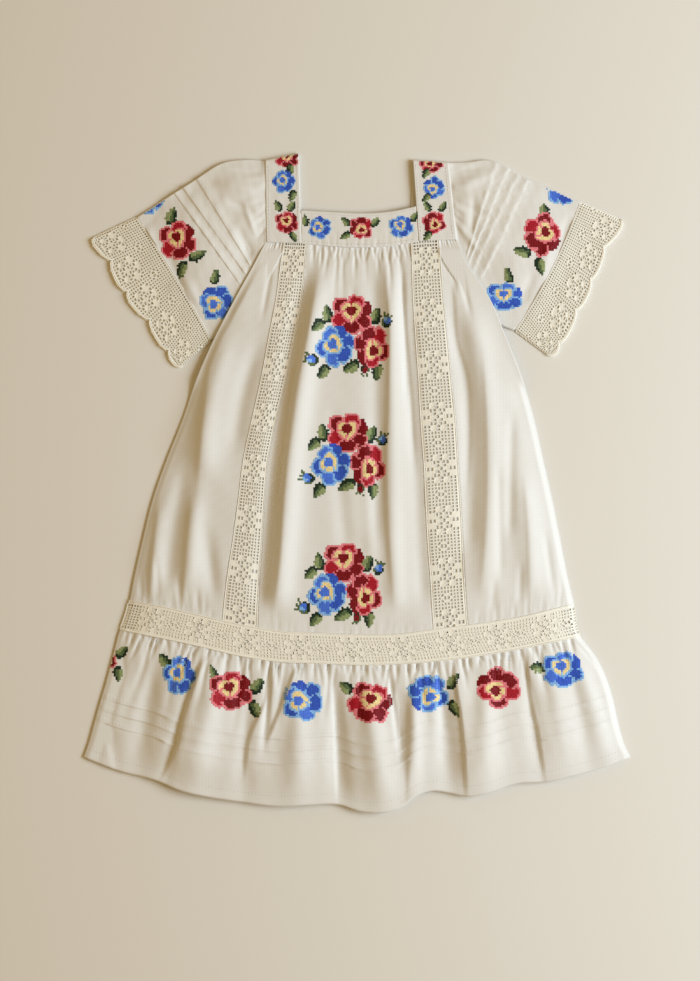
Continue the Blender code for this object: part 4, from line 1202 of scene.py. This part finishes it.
class DRESS_OT_lace_band(bpy.types.Operator):
    """Make the lace band round the skirt, front and back"""

    bl_idname = "dress.lace_band"
    bl_label = "Lace band"

    def execute(self, context):
        columns, rows, middle = 148, 11, 5
        worked = set()
        for column in range(9, columns, FLOWER_SPACING):
            worked |= chart_cells(STAR_FLOWER, column, middle)
            worked |= chart_cells(SMALL_RING, column + FLOWER_SPACING // 2, middle)

        def place(u, v):
            return plan_point(u, v, *WIDTH_EDGES, partial(band_edge, "top"), partial(band_edge, "bottom"))

        def front(u, v):
            x, y = place(u, v)
            return x, y, lace_top(x, y)

        def back(u, v):
            aside = 0.5 * hump(u, 0.0, 0.03, 0.97, 1.0)
            down = 0.5 * hump(v, 0.0, 0.15, 0.85, 1.0)
            x, y = place(u + aside / columns, v + down / rows)
            return x, y, back_top(x, y) + 0.1

        for side, surface, bar in (("front", front, sizes().lace_bar), ("back", back, sizes().hidden_bar)):
            name = f"lace_band_{side}_net"
            lace = lace_piece(name, f"lace_band_{side}", columns, rows,
                              lambda c, r: (c, r) in worked or r in (0, rows - 1), surface, lambda c, r: bar)
            lines = []
            for share in (0.0, 1.0):
                x, y, z = surface(shares(240), np.full(240, share))
                lines.append(as_points(x, y, z + 0.3))
            sewn_cords(name + "_edges", lines, EDGE_CORD, lace_cotton())
        return {"FINISHED"}


def flounce_place(u, v):
    return plan_point(u, v, *WIDTH_EDGES, lambda x: band_edge("bottom", x) + 0.2, hem_line)


class DRESS_OT_flounce(bpy.types.Operator):
    """Make the gathered flounce with its pin tucks"""

    bl_idname = "dress.flounce"
    bl_label = "Flounce"

    def execute(self, context):
        rows = list(shares(66))
        for line in TUCK_LINES:
            rows += [1.0 - (line + beside) / FLOUNCE_LENGTH for beside in (-0.3, 0.3, 1.2)]

        def surface(u, v):
            x, y = flounce_place(u, v)
            return x, y, flounce_top(x, y)

        obj = cloth_piece("flounce_front_cloth", "flounce_front", shares(300), sorted(rows), surface,
                          sizes().cloth_thickness)
        return {"FINISHED"}


def strap_surface(side, ways, turns, u, station):
    """A strap at shares u of its width: ways along it, with how far it has turned over the shoulder."""
    station = np.rint(station).astype(int)
    way, turn = ways[station], np.radians(turns[station])
    x0, y0 = strap_line(side, 0, way)
    x1, y1 = strap_line(side, 1, way)
    across = u * 1.02 - 0.02
    x, y = x0 + across * (x1 - x0), y0 + across * (y1 - y0)
    radius = YOKE_TOP / 2
    y = np.where(np.abs(way - 1.0) < 1e-6, y - radius + radius * np.cos(turn), y)
    rim = 0.14 * bell(np.minimum(u, 1.0 - u) * STRAP_WIDTH - 1.2, 0.8)
    z = radius + (radius + rim * (np.sin(turn) > 0.5)) * np.sin(turn)
    return x, y, z + 0.12 * soft_noise(x, y, 10.0, 4) * (turn > 1.5)


class DRESS_OT_yoke(bpy.types.Operator):
    """Make the straps and the neck bands of the square yoke"""

    bl_idname = "dress.yoke"
    bl_label = "Yoke"

    def execute(self, context):
        thickness = sizes().band_thickness
        bend = YOKE_TOP / 2 / STRAP_LENGTH
        front, back = np.linspace(0.0, 1.0 - bend, 40), np.linspace(1.0 + bend, 2.0, 40)
        over = np.linspace(90.0, -90.0, 9)[1:-1]
        ways = np.concatenate([front, np.ones(len(over)), back])
        turns = np.concatenate([np.full(len(front), 90.0), over, np.full(len(back), -90.0)])
        for side in ("left", "right"):
            obj = cloth_piece(f"strap_{side}_cloth", f"strap_{side}", shares(29), np.arange(len(ways)),
                              partial(strap_surface, side, ways, turns), thickness)

        def band(leg, bottom, top, base):
            def surface(u, v):
                x = u * 90.0 - 44.0
                for _ in range(6):
                    y = bottom(x) + (top(x) - bottom(x)) * (1.0 - v)
                    left = strap_inner_x("left", y, leg) - 0.2
                    right = strap_inner_x("right", y, leg) + 0.2
                    x = left + u * (right - left)
                rim = 0.12 * bell(v * BAND_DEPTH - 1.2, 0.8)
                puckers = gather_run(x, np.abs(v - 1.0) * BAND_DEPTH, uneven_places(-42.0, 48.0, 17, 51),
                                     np.zeros(17), 0.45, 22.0, 52, 0.3)
                return x, y, base + rim + 0.1 * soft_noise(x, y, 9.0, 6) + puckers * (leg == "front")

            obj = cloth_piece(f"neck_band_{leg}_cloth", f"neck_band_{leg}", shares(91), shares(28), surface,
                              thickness)

        band("front", lambda x: yoke_seam(x) - 0.3, neck_band_top, YOKE_TOP - 0.12)
        band("back", lambda x: BACK_YOKE_SEAM_Y - 0.2, lambda x: np.full_like(x, BACK_NECK_TOP_Y), 1.4)
        return {"FINISHED"}


def flat_tube(around, edge_mm, top, radius):
    """Height on a flattened tube: the top layer up to around = 1, the turn at its fold, the bottom layer."""
    inside = np.clip(edge_mm / radius, 0.0, 1.0)
    turn = np.sqrt(np.maximum(1.0 - (1.0 - inside) ** 2, 0.0))
    upper = radius + (top - radius) * turn
    lower = radius - (radius - 0.5) * turn
    return np.where(around <= 1.0, upper, lower)


def tube_share(around):
    """Share of the way across a flattened tube, for places from 0 to 2 round it."""
    return np.where(around <= 1.0, around, 2.0 - around)


def sleeve_surface(side, u, v):
    """A sleeve: u 0 at the armhole, 1 at the top fold, 2 round below, and v 0 at the cuff, 1 at the strap."""
    table = SLEEVES[side]
    share = tube_share(u)
    x, y = sleeve_plan(side, v, share)
    tucked = 1.6 * soft_fall(share, 0.0, 0.035) * smooth_step(y, 100.0, 130.0)
    under_strap = smooth_step(v, 0.96, 1.0)
    x = x + INWARD[side] * np.maximum(tucked, 1.2 * under_strap)
    base = SLEEVE_END_TOP + (SLEEVE_FOLD_TOP - SLEEVE_END_TOP) * share
    ends = smooth_step(v, -0.12, 0.2) * (1.0 - 0.55 * smooth_step(v, 0.8, 1.0))
    relief = 0.35 * soft_noise(x, y, 30.0, 9) + 0.1 * soft_noise(x, y, 10.0, 2)
    for start, end, half_width, height in SLEEVE_CREASES[side]:
        relief = relief + 1.5 * line_fold(x, y, start, end, half_width, height)
    for number, place in enumerate(uneven_places(0.1, 0.95, 9, 31)):
        lean = place + 0.1 * math.sin(number * 2.1) * (1.0 - v)
        relief = relief - 0.55 * smooth_step(v, 0.72, 0.97) * bell(share - lean, 0.03)
    for number, tuck in enumerate(table["tucks"]):
        from_tuck = v - tuck - table["tuck_wander"] * soft_noise(x, y, 26.0, 13 + number)
        worn = table["tuck_height"] * (1.0 + 0.35 * soft_noise(x, y, 14.0, 20 + number))
        pucker = bell(from_tuck, 0.03) * soft_noise(x, y, 5.5, 40 + number)
        relief = relief + worn * hump(from_tuck, -0.006, 0.004, 0.008, 0.055) + table["tuck_pucker"] * pucker
    top = base + SLEEVE_PUFF * hump(share, *SLEEVE_PUFF_SPAN) * ends + relief * smooth_step(share, 0.03, 0.1)
    edge_mm = (1.0 - share) * sleeve_width(side, v)
    top = top - 0.9 * soft_fall(edge_mm, 0.0, 15.0)
    top = top - (top - YOKE_TOP + 0.15) * under_strap
    top = top - 1.3 * soft_fall(v, 0.0, 0.3)
    return x, y, flat_tube(u, edge_mm, np.maximum(top, 2.0), SLEEVE_TUBE_RADIUS)


class DRESS_OT_sleeves(bpy.types.Operator):
    """Make the flared sleeves with their tucks"""

    bl_idname = "dress.sleeves"
    bl_label = "Sleeves"

    def execute(self, context):
        columns = [*shares(76), *np.linspace(1.0, 2.0, 34)[1:]]
        columns = sorted(columns + [1.0 - 0.012, 1.0 - 0.006, 1.0 + 0.006, 1.0 + 0.012])
        for side in ("left", "right"):
            rows = list(shares(100))
            # Tucks that run straight get grid lines of their own
            if SLEEVES[side]["tuck_wander"] == 0.0:
                rows += [tuck + step for tuck in SLEEVES[side]["tucks"] for step in (-0.005, 0.0, 0.005)]
            obj = cloth_piece(f"sleeve_{side}_cloth", f"sleeve_{side}", columns, sorted(rows),
                              partial(sleeve_surface, side), sizes().cloth_thickness)
        return {"FINISHED"}


def sleeve_lace_point(side, share, reach):
    """Plan of the edging: reach 0 at the cuff seam and 1 on the line that the notches lie on."""
    cuff_x, cuff_y = sleeve_plan(side, np.zeros_like(share), share)
    table = SLEEVE_LACE[side]
    knots = {"way": tuple(np.linspace(1.0, 0.0, SCALLOPS + 1)), "x": table["x"], "y": table["y"]}
    out_x, out_y = along(knots, "x", share, "way"), along(knots, "y", share, "way")
    return cuff_x + (out_x - cuff_x) * reach, cuff_y + (out_y - cuff_y) * reach


def scallop_reach(share):
    within = (share * SCALLOPS) % 1.0
    bulge = np.maximum(1.0 - (2.0 * within - 1.0) ** 2, 0.0) ** 0.55
    return 1.0 + SCALLOP_DEPTH / EDGING_DEPTH * bulge


def edging_surface(side, u, v):
    """A sleeve's edging: u once round it, v 0 under the cuff and 1 past the scallops' tips."""
    around = u * 2.0
    share = tube_share(around)
    below = (around - 1.0) * LAYER_SQUARES
    aside = smooth_step(below, 0.0, 2.0) * smooth_step((2.0 - around) * LAYER_SQUARES, 0.0, 2.0)
    share = share - 0.5 * aside / LAYER_SQUARES
    v = v + 0.5 * aside / EDGING_ROWS * smooth_step(v, 0.0, 0.15)
    x, y = sleeve_lace_point(side, share, EDGING_START + v * (EDGING_REACH - EDGING_START))
    edge_mm = np.minimum(share, 1.0 - share) * EDGING_LENGTH
    puff = 0.4 * smooth_step(edge_mm, 0.0, 20.0) + 0.22 * soft_noise(x, y, 22.0, 4)
    puff = puff + (0.3 + 0.8 * hump(share, *SLEEVE_PUFF_SPAN)) * soft_fall(v, 0.05, 0.4)
    return x, y, flat_tube(around, edge_mm, SLEEVE_LACE_REST + puff, EDGING_TUBE_RADIUS)


def past_scallop(column, row):
    """Whether a square of the edging lies past its scallop, a little sooner in the layer below."""
    around = (column + 0.5) / LAYER_SQUARES
    reach = EDGING_START + (row + 0.5) / EDGING_ROWS * (EDGING_REACH - EDGING_START)
    layer_inset = 0.012 if around <= 1.0 else 0.032
    return bool(reach > float(scallop_reach(tube_share(around))) - layer_inset)


class DRESS_OT_sleeve_lace(bpy.types.Operator):
    """Make the scalloped lace edging of each sleeve"""

    bl_idname = "dress.sleeve_lace"
    bl_label = "Sleeve lace"

    def execute(self, context):
        worked = set()
        for start in range(0, 2 * LAYER_SQUARES, SCALLOP_SQUARES):
            worked |= chart_cells(RING_FLOWER, start + SCALLOP_SQUARES // 2, 13)
            worked |= chart_cells(SMALL_RING, start, 6)
        around = np.linspace(0.0, 2.0, 40 * SCALLOPS + 1)
        for side in ("left", "right"):
            lace = lace_piece(f"sleeve_{side}_lace", f"sleeve_lace_{side}", 2 * LAYER_SQUARES, EDGING_ROWS,
                              lambda c, r: (c, r) in worked or r == 0, partial(edging_surface, side),
                              lambda c, r: sizes().edging_bar if c < LAYER_SQUARES else sizes().hidden_bar,
                              past_scallop)

            def edge_line(reach, lift):
                v = (reach - EDGING_START) / (EDGING_REACH - EDGING_START)
                x, y, z = edging_surface(side, around / 2.0, v)
                return as_points(x, y, z + lift)

            outer = scallop_reach(tube_share(around)) - 0.02 * (around > 1.0)
            edgings = [edge_line(outer - inset, 0.1) for inset in (0.0, 0.03)]
            sewn_cords(f"sleeve_{side}_scallops", edgings, EDGE_CORD, lace_cotton(), sides=2)
            seam = edge_line(np.zeros_like(around), 0.15)
            sewn_cords(f"sleeve_{side}_cuff_seam", [seam], CUFF_CORD, cotton())
        return {"FINISHED"}


class DRESS_OT_back(bpy.types.Operator):
    """Make the plain back, which the dress lies on"""

    bl_idname = "dress.back"
    bl_label = "Back"

    def execute(self, context):
        def panel_place(u, v):
            return plan_point(u, v, partial(armhole_edge, "left"), partial(armhole_edge, "right"),
                              lambda x: np.full_like(x, BACK_YOKE_SEAM_Y),
                              lambda x: band_edge("top", x) - 0.2)

        for name, node, place, across, down, flat, area in (
                ("back_cloth", "back_panel", panel_place, 132, 62, (0.36, 0.31), 0.078),
                ("flounce_back_cloth", "flounce_back", flounce_place, 110, 32, (0.44, 0.125), 0.048)):

            def surface(u, v):
                x, y = place(u, v)
                return x, y, back_top(x, y)

            obj = cloth_piece(name, node, shares(across), shares(down), surface, sizes().cloth_thickness)
        return {"FINISHED"}


def heart_field(x, y, size):
    """Below 0 inside a heart shape of a given half width, which stands on its tip."""
    x, y = x / size, y / size + 0.12
    return (x * x + y * y - 1.0) ** 3 - x * x * y**3


def rose_thread(x, y, blue):
    """Thread at a place in a rose of radius 1, or None beside it: petals, a cup, a broken ring, a heart."""
    shades = {"deep": "navy", "bright": "blue"} if blue else {"deep": "crimson", "bright": "red"}
    pale = "sky" if blue else "pink"
    found = shades["deep"] if math.hypot(x, y) < 0.76 else None
    for number, (centre_x, centre_y, half_width, half_height, thread, pale_edge) in enumerate(ROSE_PETALS):
        across, up = (x - centre_x) / half_width, (y - centre_y) / half_height
        wave = 1.0 + 0.06 * math.cos(5.0 * math.atan2(up, across) + number)
        spread = math.hypot(across, up) / wave
        outward = (x - centre_x) * centre_x + (y - centre_y) * centre_y > -0.06
        if spread < 0.84 or (spread < 1.0 and not pale_edge):
            found = shades[thread]
        elif spread < 1.10 and pale_edge and (outward or spread < 0.95):
            found = pale
    x, y = x + 0.04, y - 0.08
    if heart_field(x, y, 0.52) < 0.0:
        found = pale
    ring = heart_field(x, y - 0.02, 0.43) < 0.0
    top_gap = abs(x) < 0.06 and y > 0.1
    foot_gap = 0.02 < x - y * 0.4 < 0.14 and y < -0.12
    side_gap = x < -0.24 and 0.02 < y < 0.12
    if ring and not (top_gap or foot_gap or side_gap):
        found = "yellow"
    if heart_field(x, y - 0.10, 0.24) < 0.0:
        found = "blue" if blue else "crimson"
    return found


def leaf_thread(x, y, dark_tip):
    """Thread at a place in a leaf that points along x, from -1 at its stalk to 1 at its tip."""
    if abs(x) > 1.0:
        return None
    width = (1.0 - x) ** 0.8 * (1.0 + x) ** 0.5 * (1.0 + 0.14 * math.sin(x * 13.0))
    if abs(y) > width:
        return None
    if y < -0.30 * width - 0.1 or x < -0.66:
        return "dark_leaf"
    if abs(y) < 0.16 or (dark_tip and x > 0.6):
        return "leaf"
    return "light_leaf" if y > 0.0 else "leaf"


def bud_thread(x, y, blue):
    """Thread at a place in a bud that opens along x: petals held by green sepals."""
    if math.hypot((x - 0.08) / 0.5, y / 0.6) < 1.0:
        if not blue:
            return "crimson"
        return "sky" if y > 0.1 and x > -0.1 else "blue"
    if x < 0.3 and math.hypot((x + 0.1) / 0.75, y / 0.85) < 1.0:
        return "dark_leaf" if y < 0.35 else "leaf"
    for lean in (-0.75, 0.0, 0.75):
        if 0.4 < x < 1.0 and abs(y - lean * x) < 0.18:
            return "leaf"
    return None


def motif_threads(motif, pitch):
    """The cross stitches of one motif, as [(column, row, thread), ...] on the cloth's own grid."""
    kind, centre_x, centre_y, width, height, turn = motif
    cos, sin = math.cos(math.radians(turn)), math.sin(math.radians(turn))
    reach = int(max(width, height) / pitch / 2 * 1.3) + 1
    middle_x, middle_y = round(centre_x / pitch), round(centre_y / pitch)
    found = []
    for column in range(middle_x - reach, middle_x + reach + 1):
        for row in range(middle_y - reach, middle_y + reach + 1):
            x, y = column * pitch - centre_x, row * pitch - centre_y
            # A rose is stretched upright and a leaf or a bud along its own turned axis
            if "rose" in kind:
                x, y = x / (width / 2), y / (height / 2)
                thread = rose_thread(x * cos + y * sin, y * cos - x * sin, kind == "blue_rose")
            else:
                x, y = (x * cos + y * sin) / (width / 2), (y * cos - x * sin) / (height / 2)
                if kind == "leaf":
                    thread = leaf_thread(x, y, int(centre_x + centre_y) % 2 == 0)
                else:
                    thread = bud_thread(x, y, kind == "blue_bud")
            if thread:
                found.append((column, row, thread))
    return found


def cross_shape(pitch, height):
    """Points and faces of one cross stitch: two threads that lie over each other on a filled square."""
    half, ground, under_thread = 0.5 * pitch, 0.06, 0.05
    points = [(-half, -half, ground), (half, -half, ground), (half, half, ground), (-half, half, ground)]
    faces = [(0, 1, 2, 3)]
    thread_width = 0.30 * pitch
    side_y = 0.7071 * thread_width
    for slant, lift in ((1.0, 0.7 * height), (-1.0, height)):
        side_x = -side_y * slant
        for along_it, rise in ((-1.0, -0.02), (0.0, 1.0), (1.0, -0.02)):
            x, y = half * along_it, half * along_it * slant
            start = len(points)
            for across, share in ((1.0, 0.35), (0.4, 1.0), (-0.4, 1.0), (-1.0, 0.35)):
                points.append((x + side_x * across, y + side_y * across, under_thread + lift * rise * share))
            if along_it > -1.0:
                for edge in range(3):
                    low, high = start - 4 + edge, start + edge
                    quad = (low, low + 1, high + 1, high)
                    faces.append(quad if slant > 0 else quad[::-1])
    return np.array(points), faces


def cloth_tree(name):
    """Search tree of a piece's faces, which stitches are laid on."""
    mesh = bpy.data.objects[name].data
    faces = [tuple(face.vertices) for face in mesh.polygons]
    return BVHTree.FromPolygons(vertex_places(mesh).tolist(), faces)


def height_at(x, y, trees):
    """Height of the highest of some cloths at a place, all in millimetres, or None beside them."""
    hits = [tree.ray_cast(Vector((x * MM, y * MM, 0.1)), Vector((0.0, 0.0, -1.0)))[0] for tree in trees]
    heights = [hit.z for hit in hits if hit is not None]
    return max(heights) / MM if heights else None


def sew_crosses(name, stitches, pitch, cloths, covers=()):
    """Cross stitches as one mesh, each laid on the cloth below it. stitches is {(column, row): thread}."""
    shape, shape_faces = cross_shape(pitch, sizes().stitch_height / MM)
    trees = [cloth_tree(cloth) for cloth in cloths]
    cover_trees = [cloth_tree(cover) for cover in covers]
    rng = np.random.RandomState(len(stitches))
    places, faces, colours = [], [], []
    half = 0.5 * pitch
    u = (shape[:, 0] + half) / pitch
    v = (shape[:, 1] + half) / pitch
    for (column, row), thread in stitches.items():
        x, y = column * pitch, row * pitch
        corners = [height_at(x + dx, y + dy, trees) for dy in (-half, half) for dx in (-half, half)]
        if None in corners:
            continue
        cover = height_at(x, y, cover_trees)
        if cover is not None and cover > sum(corners) / 4.0:
            continue
        ground = (corners[0] * (1 - u) * (1 - v) + corners[1] * u * (1 - v)
                  + corners[2] * (1 - u) * v + corners[3] * u * v)
        points = shape + np.array([x, y, 0.0])
        points[:, :2] += (rng.rand(2) - 0.5) * UNEVENNESS * pitch
        points[:, 2] += ground
        start = len(places) * len(shape)
        places.append(points)
        faces += [tuple(start + corner for corner in face) for face in shape_faces]
        shade = 0.88 + 0.24 * rng.rand()
        colours.append([c * shade for c in srgb(THREADS[thread])] + [1.0])
    mesh = bpy.data.meshes.new(name)
    mesh.from_pydata((np.concatenate(places) * MM).tolist(), [], faces)
    dyed = mesh.attributes.new("thread_colour", "FLOAT_COLOR", "POINT")
    dyed.data.foreach_set("color", np.repeat(np.array(colours), len(shape), axis=0).ravel())
    cotton_thread = bpy.data.materials.get("embroidery_cotton") or thread_material()
    finish_piece(linked(name, mesh), cotton_thread)


def gathered_stitches(motifs, pitch, hidden=lambda x, y: False):
    """Threads of all the motifs by (column, row), without the stitches that a fold hides."""
    stitches = {}
    for motif in motifs:
        for column, row, thread in motif_threads(motif, pitch):
            if not hidden(column * pitch, row * pitch):
                stitches[(column, row)] = thread
    return stitches


def under_pleat(x, y):
    """Whether a place is under the edge of the flounce's deep pleat."""
    line = FLOUNCE_CRISP_FOLDS[0][0]
    edge = np.interp(y, [point[1] for point in line[::-1]], [point[0] for point in line[::-1]])
    foot_of_flank = -118.5
    return edge - 0.6 < x < foot_of_flank


class DRESS_OT_embroidery(bpy.types.Operator):
    """Sew the cross-stitch roses, leaves and buds"""

    bl_idname = "dress.embroidery"
    bl_label = "Embroidery"

    def execute(self, context):
        pitch, fine = sizes().stitch / MM, sizes().yoke_stitch / MM
        front = ["front_centre_cloth", "front_left_cloth", "front_right_cloth"]
        for number, (x, y) in enumerate(FRONT_CLUSTERS):
            motifs = [(kind, x + dx, y + dy, *rest) for kind, dx, dy, *rest in CLUSTER]
            sew_crosses(f"front_roses_{number + 1}", gathered_stitches(motifs, pitch), pitch,
                        ["front_centre_cloth"])
        sew_crosses("flounce_roses", gathered_stitches(FLOUNCE_MOTIFS, pitch, under_pleat), pitch,
                    ["flounce_front_cloth"])
        sew_crosses("yoke_roses", gathered_stitches(YOKE_MOTIFS, fine), fine,
                    ["strap_left_cloth", "strap_right_cloth", "neck_band_front_cloth"])
        for side in ("left", "right"):
            sew_crosses(f"sleeve_{side}_roses", gathered_stitches(SLEEVE_MOTIFS[side], pitch), pitch,
                        [f"sleeve_{side}_cloth"], front)
        return {"FINISHED"}


class DRESS_OT_seams(bpy.types.Operator):
    """Sew the stitch lines along the seams, the hem and the yoke"""

    bl_idname = "dress.seams"
    bl_label = "Seams"

    def execute(self, context):
        lines = []
        x = np.linspace(-216.0, 216.0, 220)
        for above_hem in HEM_STITCH_LINES:
            y = hem_line(x) + above_hem
            inside = (x > side_edge("left", y) + 2.0) & (x < side_edge("right", y) - 2.0)
            lines.append(as_points(x, y, flounce_top(x, y))[inside])
        x = np.linspace(-42.0, 47.0, 60)
        for y in (neck_band_top(x) - 2.4, yoke_seam(x) + 2.2):
            lines.append(as_points(x, y, np.full_like(x, YOKE_TOP)))
        way = np.linspace(0.02, 0.96, 40)
        for side in ("left", "right"):
            x0, y0 = strap_line(side, 0, way)
            x1, y1 = strap_line(side, 1, way)
            for share in (0.08, 0.92):
                top = np.full_like(way, YOKE_TOP + 0.05)
                lines.append(as_points(x0 + share * (x1 - x0), y0 + share * (y1 - y0), top))
        running_stitches("seam_stitches", lines, cotton())
        return {"FINISHED"}


class DRESS_OT_stage(bpy.types.Operator):
    """Set up the pale surface, the soft light and the camera straight above"""

    bl_idname = "dress.stage"
    bl_label = "Stage"

    def execute(self, context):
        scene = context.scene
        colours = scene.dress_colours
        bpy.ops.object.select_all(action="DESELECT")
        bpy.ops.mesh.primitive_plane_add(size=6.0, location=(0.0, 0.0, -0.0002))
        floor = bpy.context.object
        floor.name = "pale_surface"
        made, shader = new_material("pale_surface_paint", 0.9, 0.15)
        shader.inputs["Base Color"].default_value = (*colours.floor, 1.0)
        floor.data.materials.append(made)

        light = bpy.data.lights.new("window", "AREA")
        light.shape = "DISK"
        light.size = 1.4
        light.energy = 43.0
        light.color = colours.light
        lamp = linked("window", light)
        lamp.location = (1.62, -0.05, 1.14)
        lamp.rotation_euler = (-lamp.location).to_track_quat("-Z", "Y").to_euler()
        scene.world = bpy.data.worlds.new("room light")
        scene.world.use_nodes = True
        sky = scene.world.node_tree.nodes["Background"]
        sky.inputs["Color"].default_value = (*colours.room, 1.0)
        sky.inputs["Strength"].default_value = 0.42

        camera = bpy.data.cameras.new("camera")
        camera.sensor_fit = "VERTICAL"
        camera.lens = 85.0
        camera.sensor_height = 24.0
        seen_height = 0.7848
        scene.camera = linked("camera", camera)
        scene.camera.location = (-0.0052, -0.006, seen_height * camera.lens / camera.sensor_height)
        scene.view_settings.view_transform = "Standard"
        return {"FINISHED"}


STEPS = (
    DRESS_OT_front, DRESS_OT_insertions, DRESS_OT_lace_band, DRESS_OT_flounce, DRESS_OT_yoke,
    DRESS_OT_sleeves, DRESS_OT_sleeve_lace, DRESS_OT_back, DRESS_OT_embroidery, DRESS_OT_seams,
    DRESS_OT_stage,
)


class DRESS_PT_panel(bpy.types.Panel):
    """Lists the dress's sizes, colours and pieces"""

    bl_label = "Embroidered dress"
    bl_idname = "DRESS_PT_panel"
    bl_space_type = "VIEW_3D"
    bl_region_type = "UI"
    bl_category = "Dress"

    def draw(self, context):
        column = self.layout.column()
        for group in (context.scene.dress_sizes, context.scene.dress_colours):
            for name in group.bl_rna.properties.keys():
                if name not in ("rna_type", "name"):
                    column.prop(group, name)
        for step in STEPS:
            column.operator(step.bl_idname)


CLASSES = (DressSizes, DressColours, *STEPS, DRESS_PT_panel)


def register():
    for item in CLASSES:
        bpy.utils.register_class(item)
    bpy.types.Scene.dress_sizes = PointerProperty(type=DressSizes)
    bpy.types.Scene.dress_colours = PointerProperty(type=DressColours)


def unregister():
    del bpy.types.Scene.dress_colours
    del bpy.types.Scene.dress_sizes
    for item in reversed(CLASSES):
        bpy.utils.unregister_class(item)


def main():
    register()
    bpy.ops.dress.front()
    bpy.ops.dress.insertions()
    bpy.ops.dress.lace_band()
    bpy.ops.dress.flounce()
    bpy.ops.dress.yoke()
    bpy.ops.dress.sleeves()
    bpy.ops.dress.sleeve_lace()
    bpy.ops.dress.back()
    bpy.ops.dress.embroidery()
    bpy.ops.dress.seams()
    bpy.ops.dress.stage()


if __name__ == "__main__":
    main()
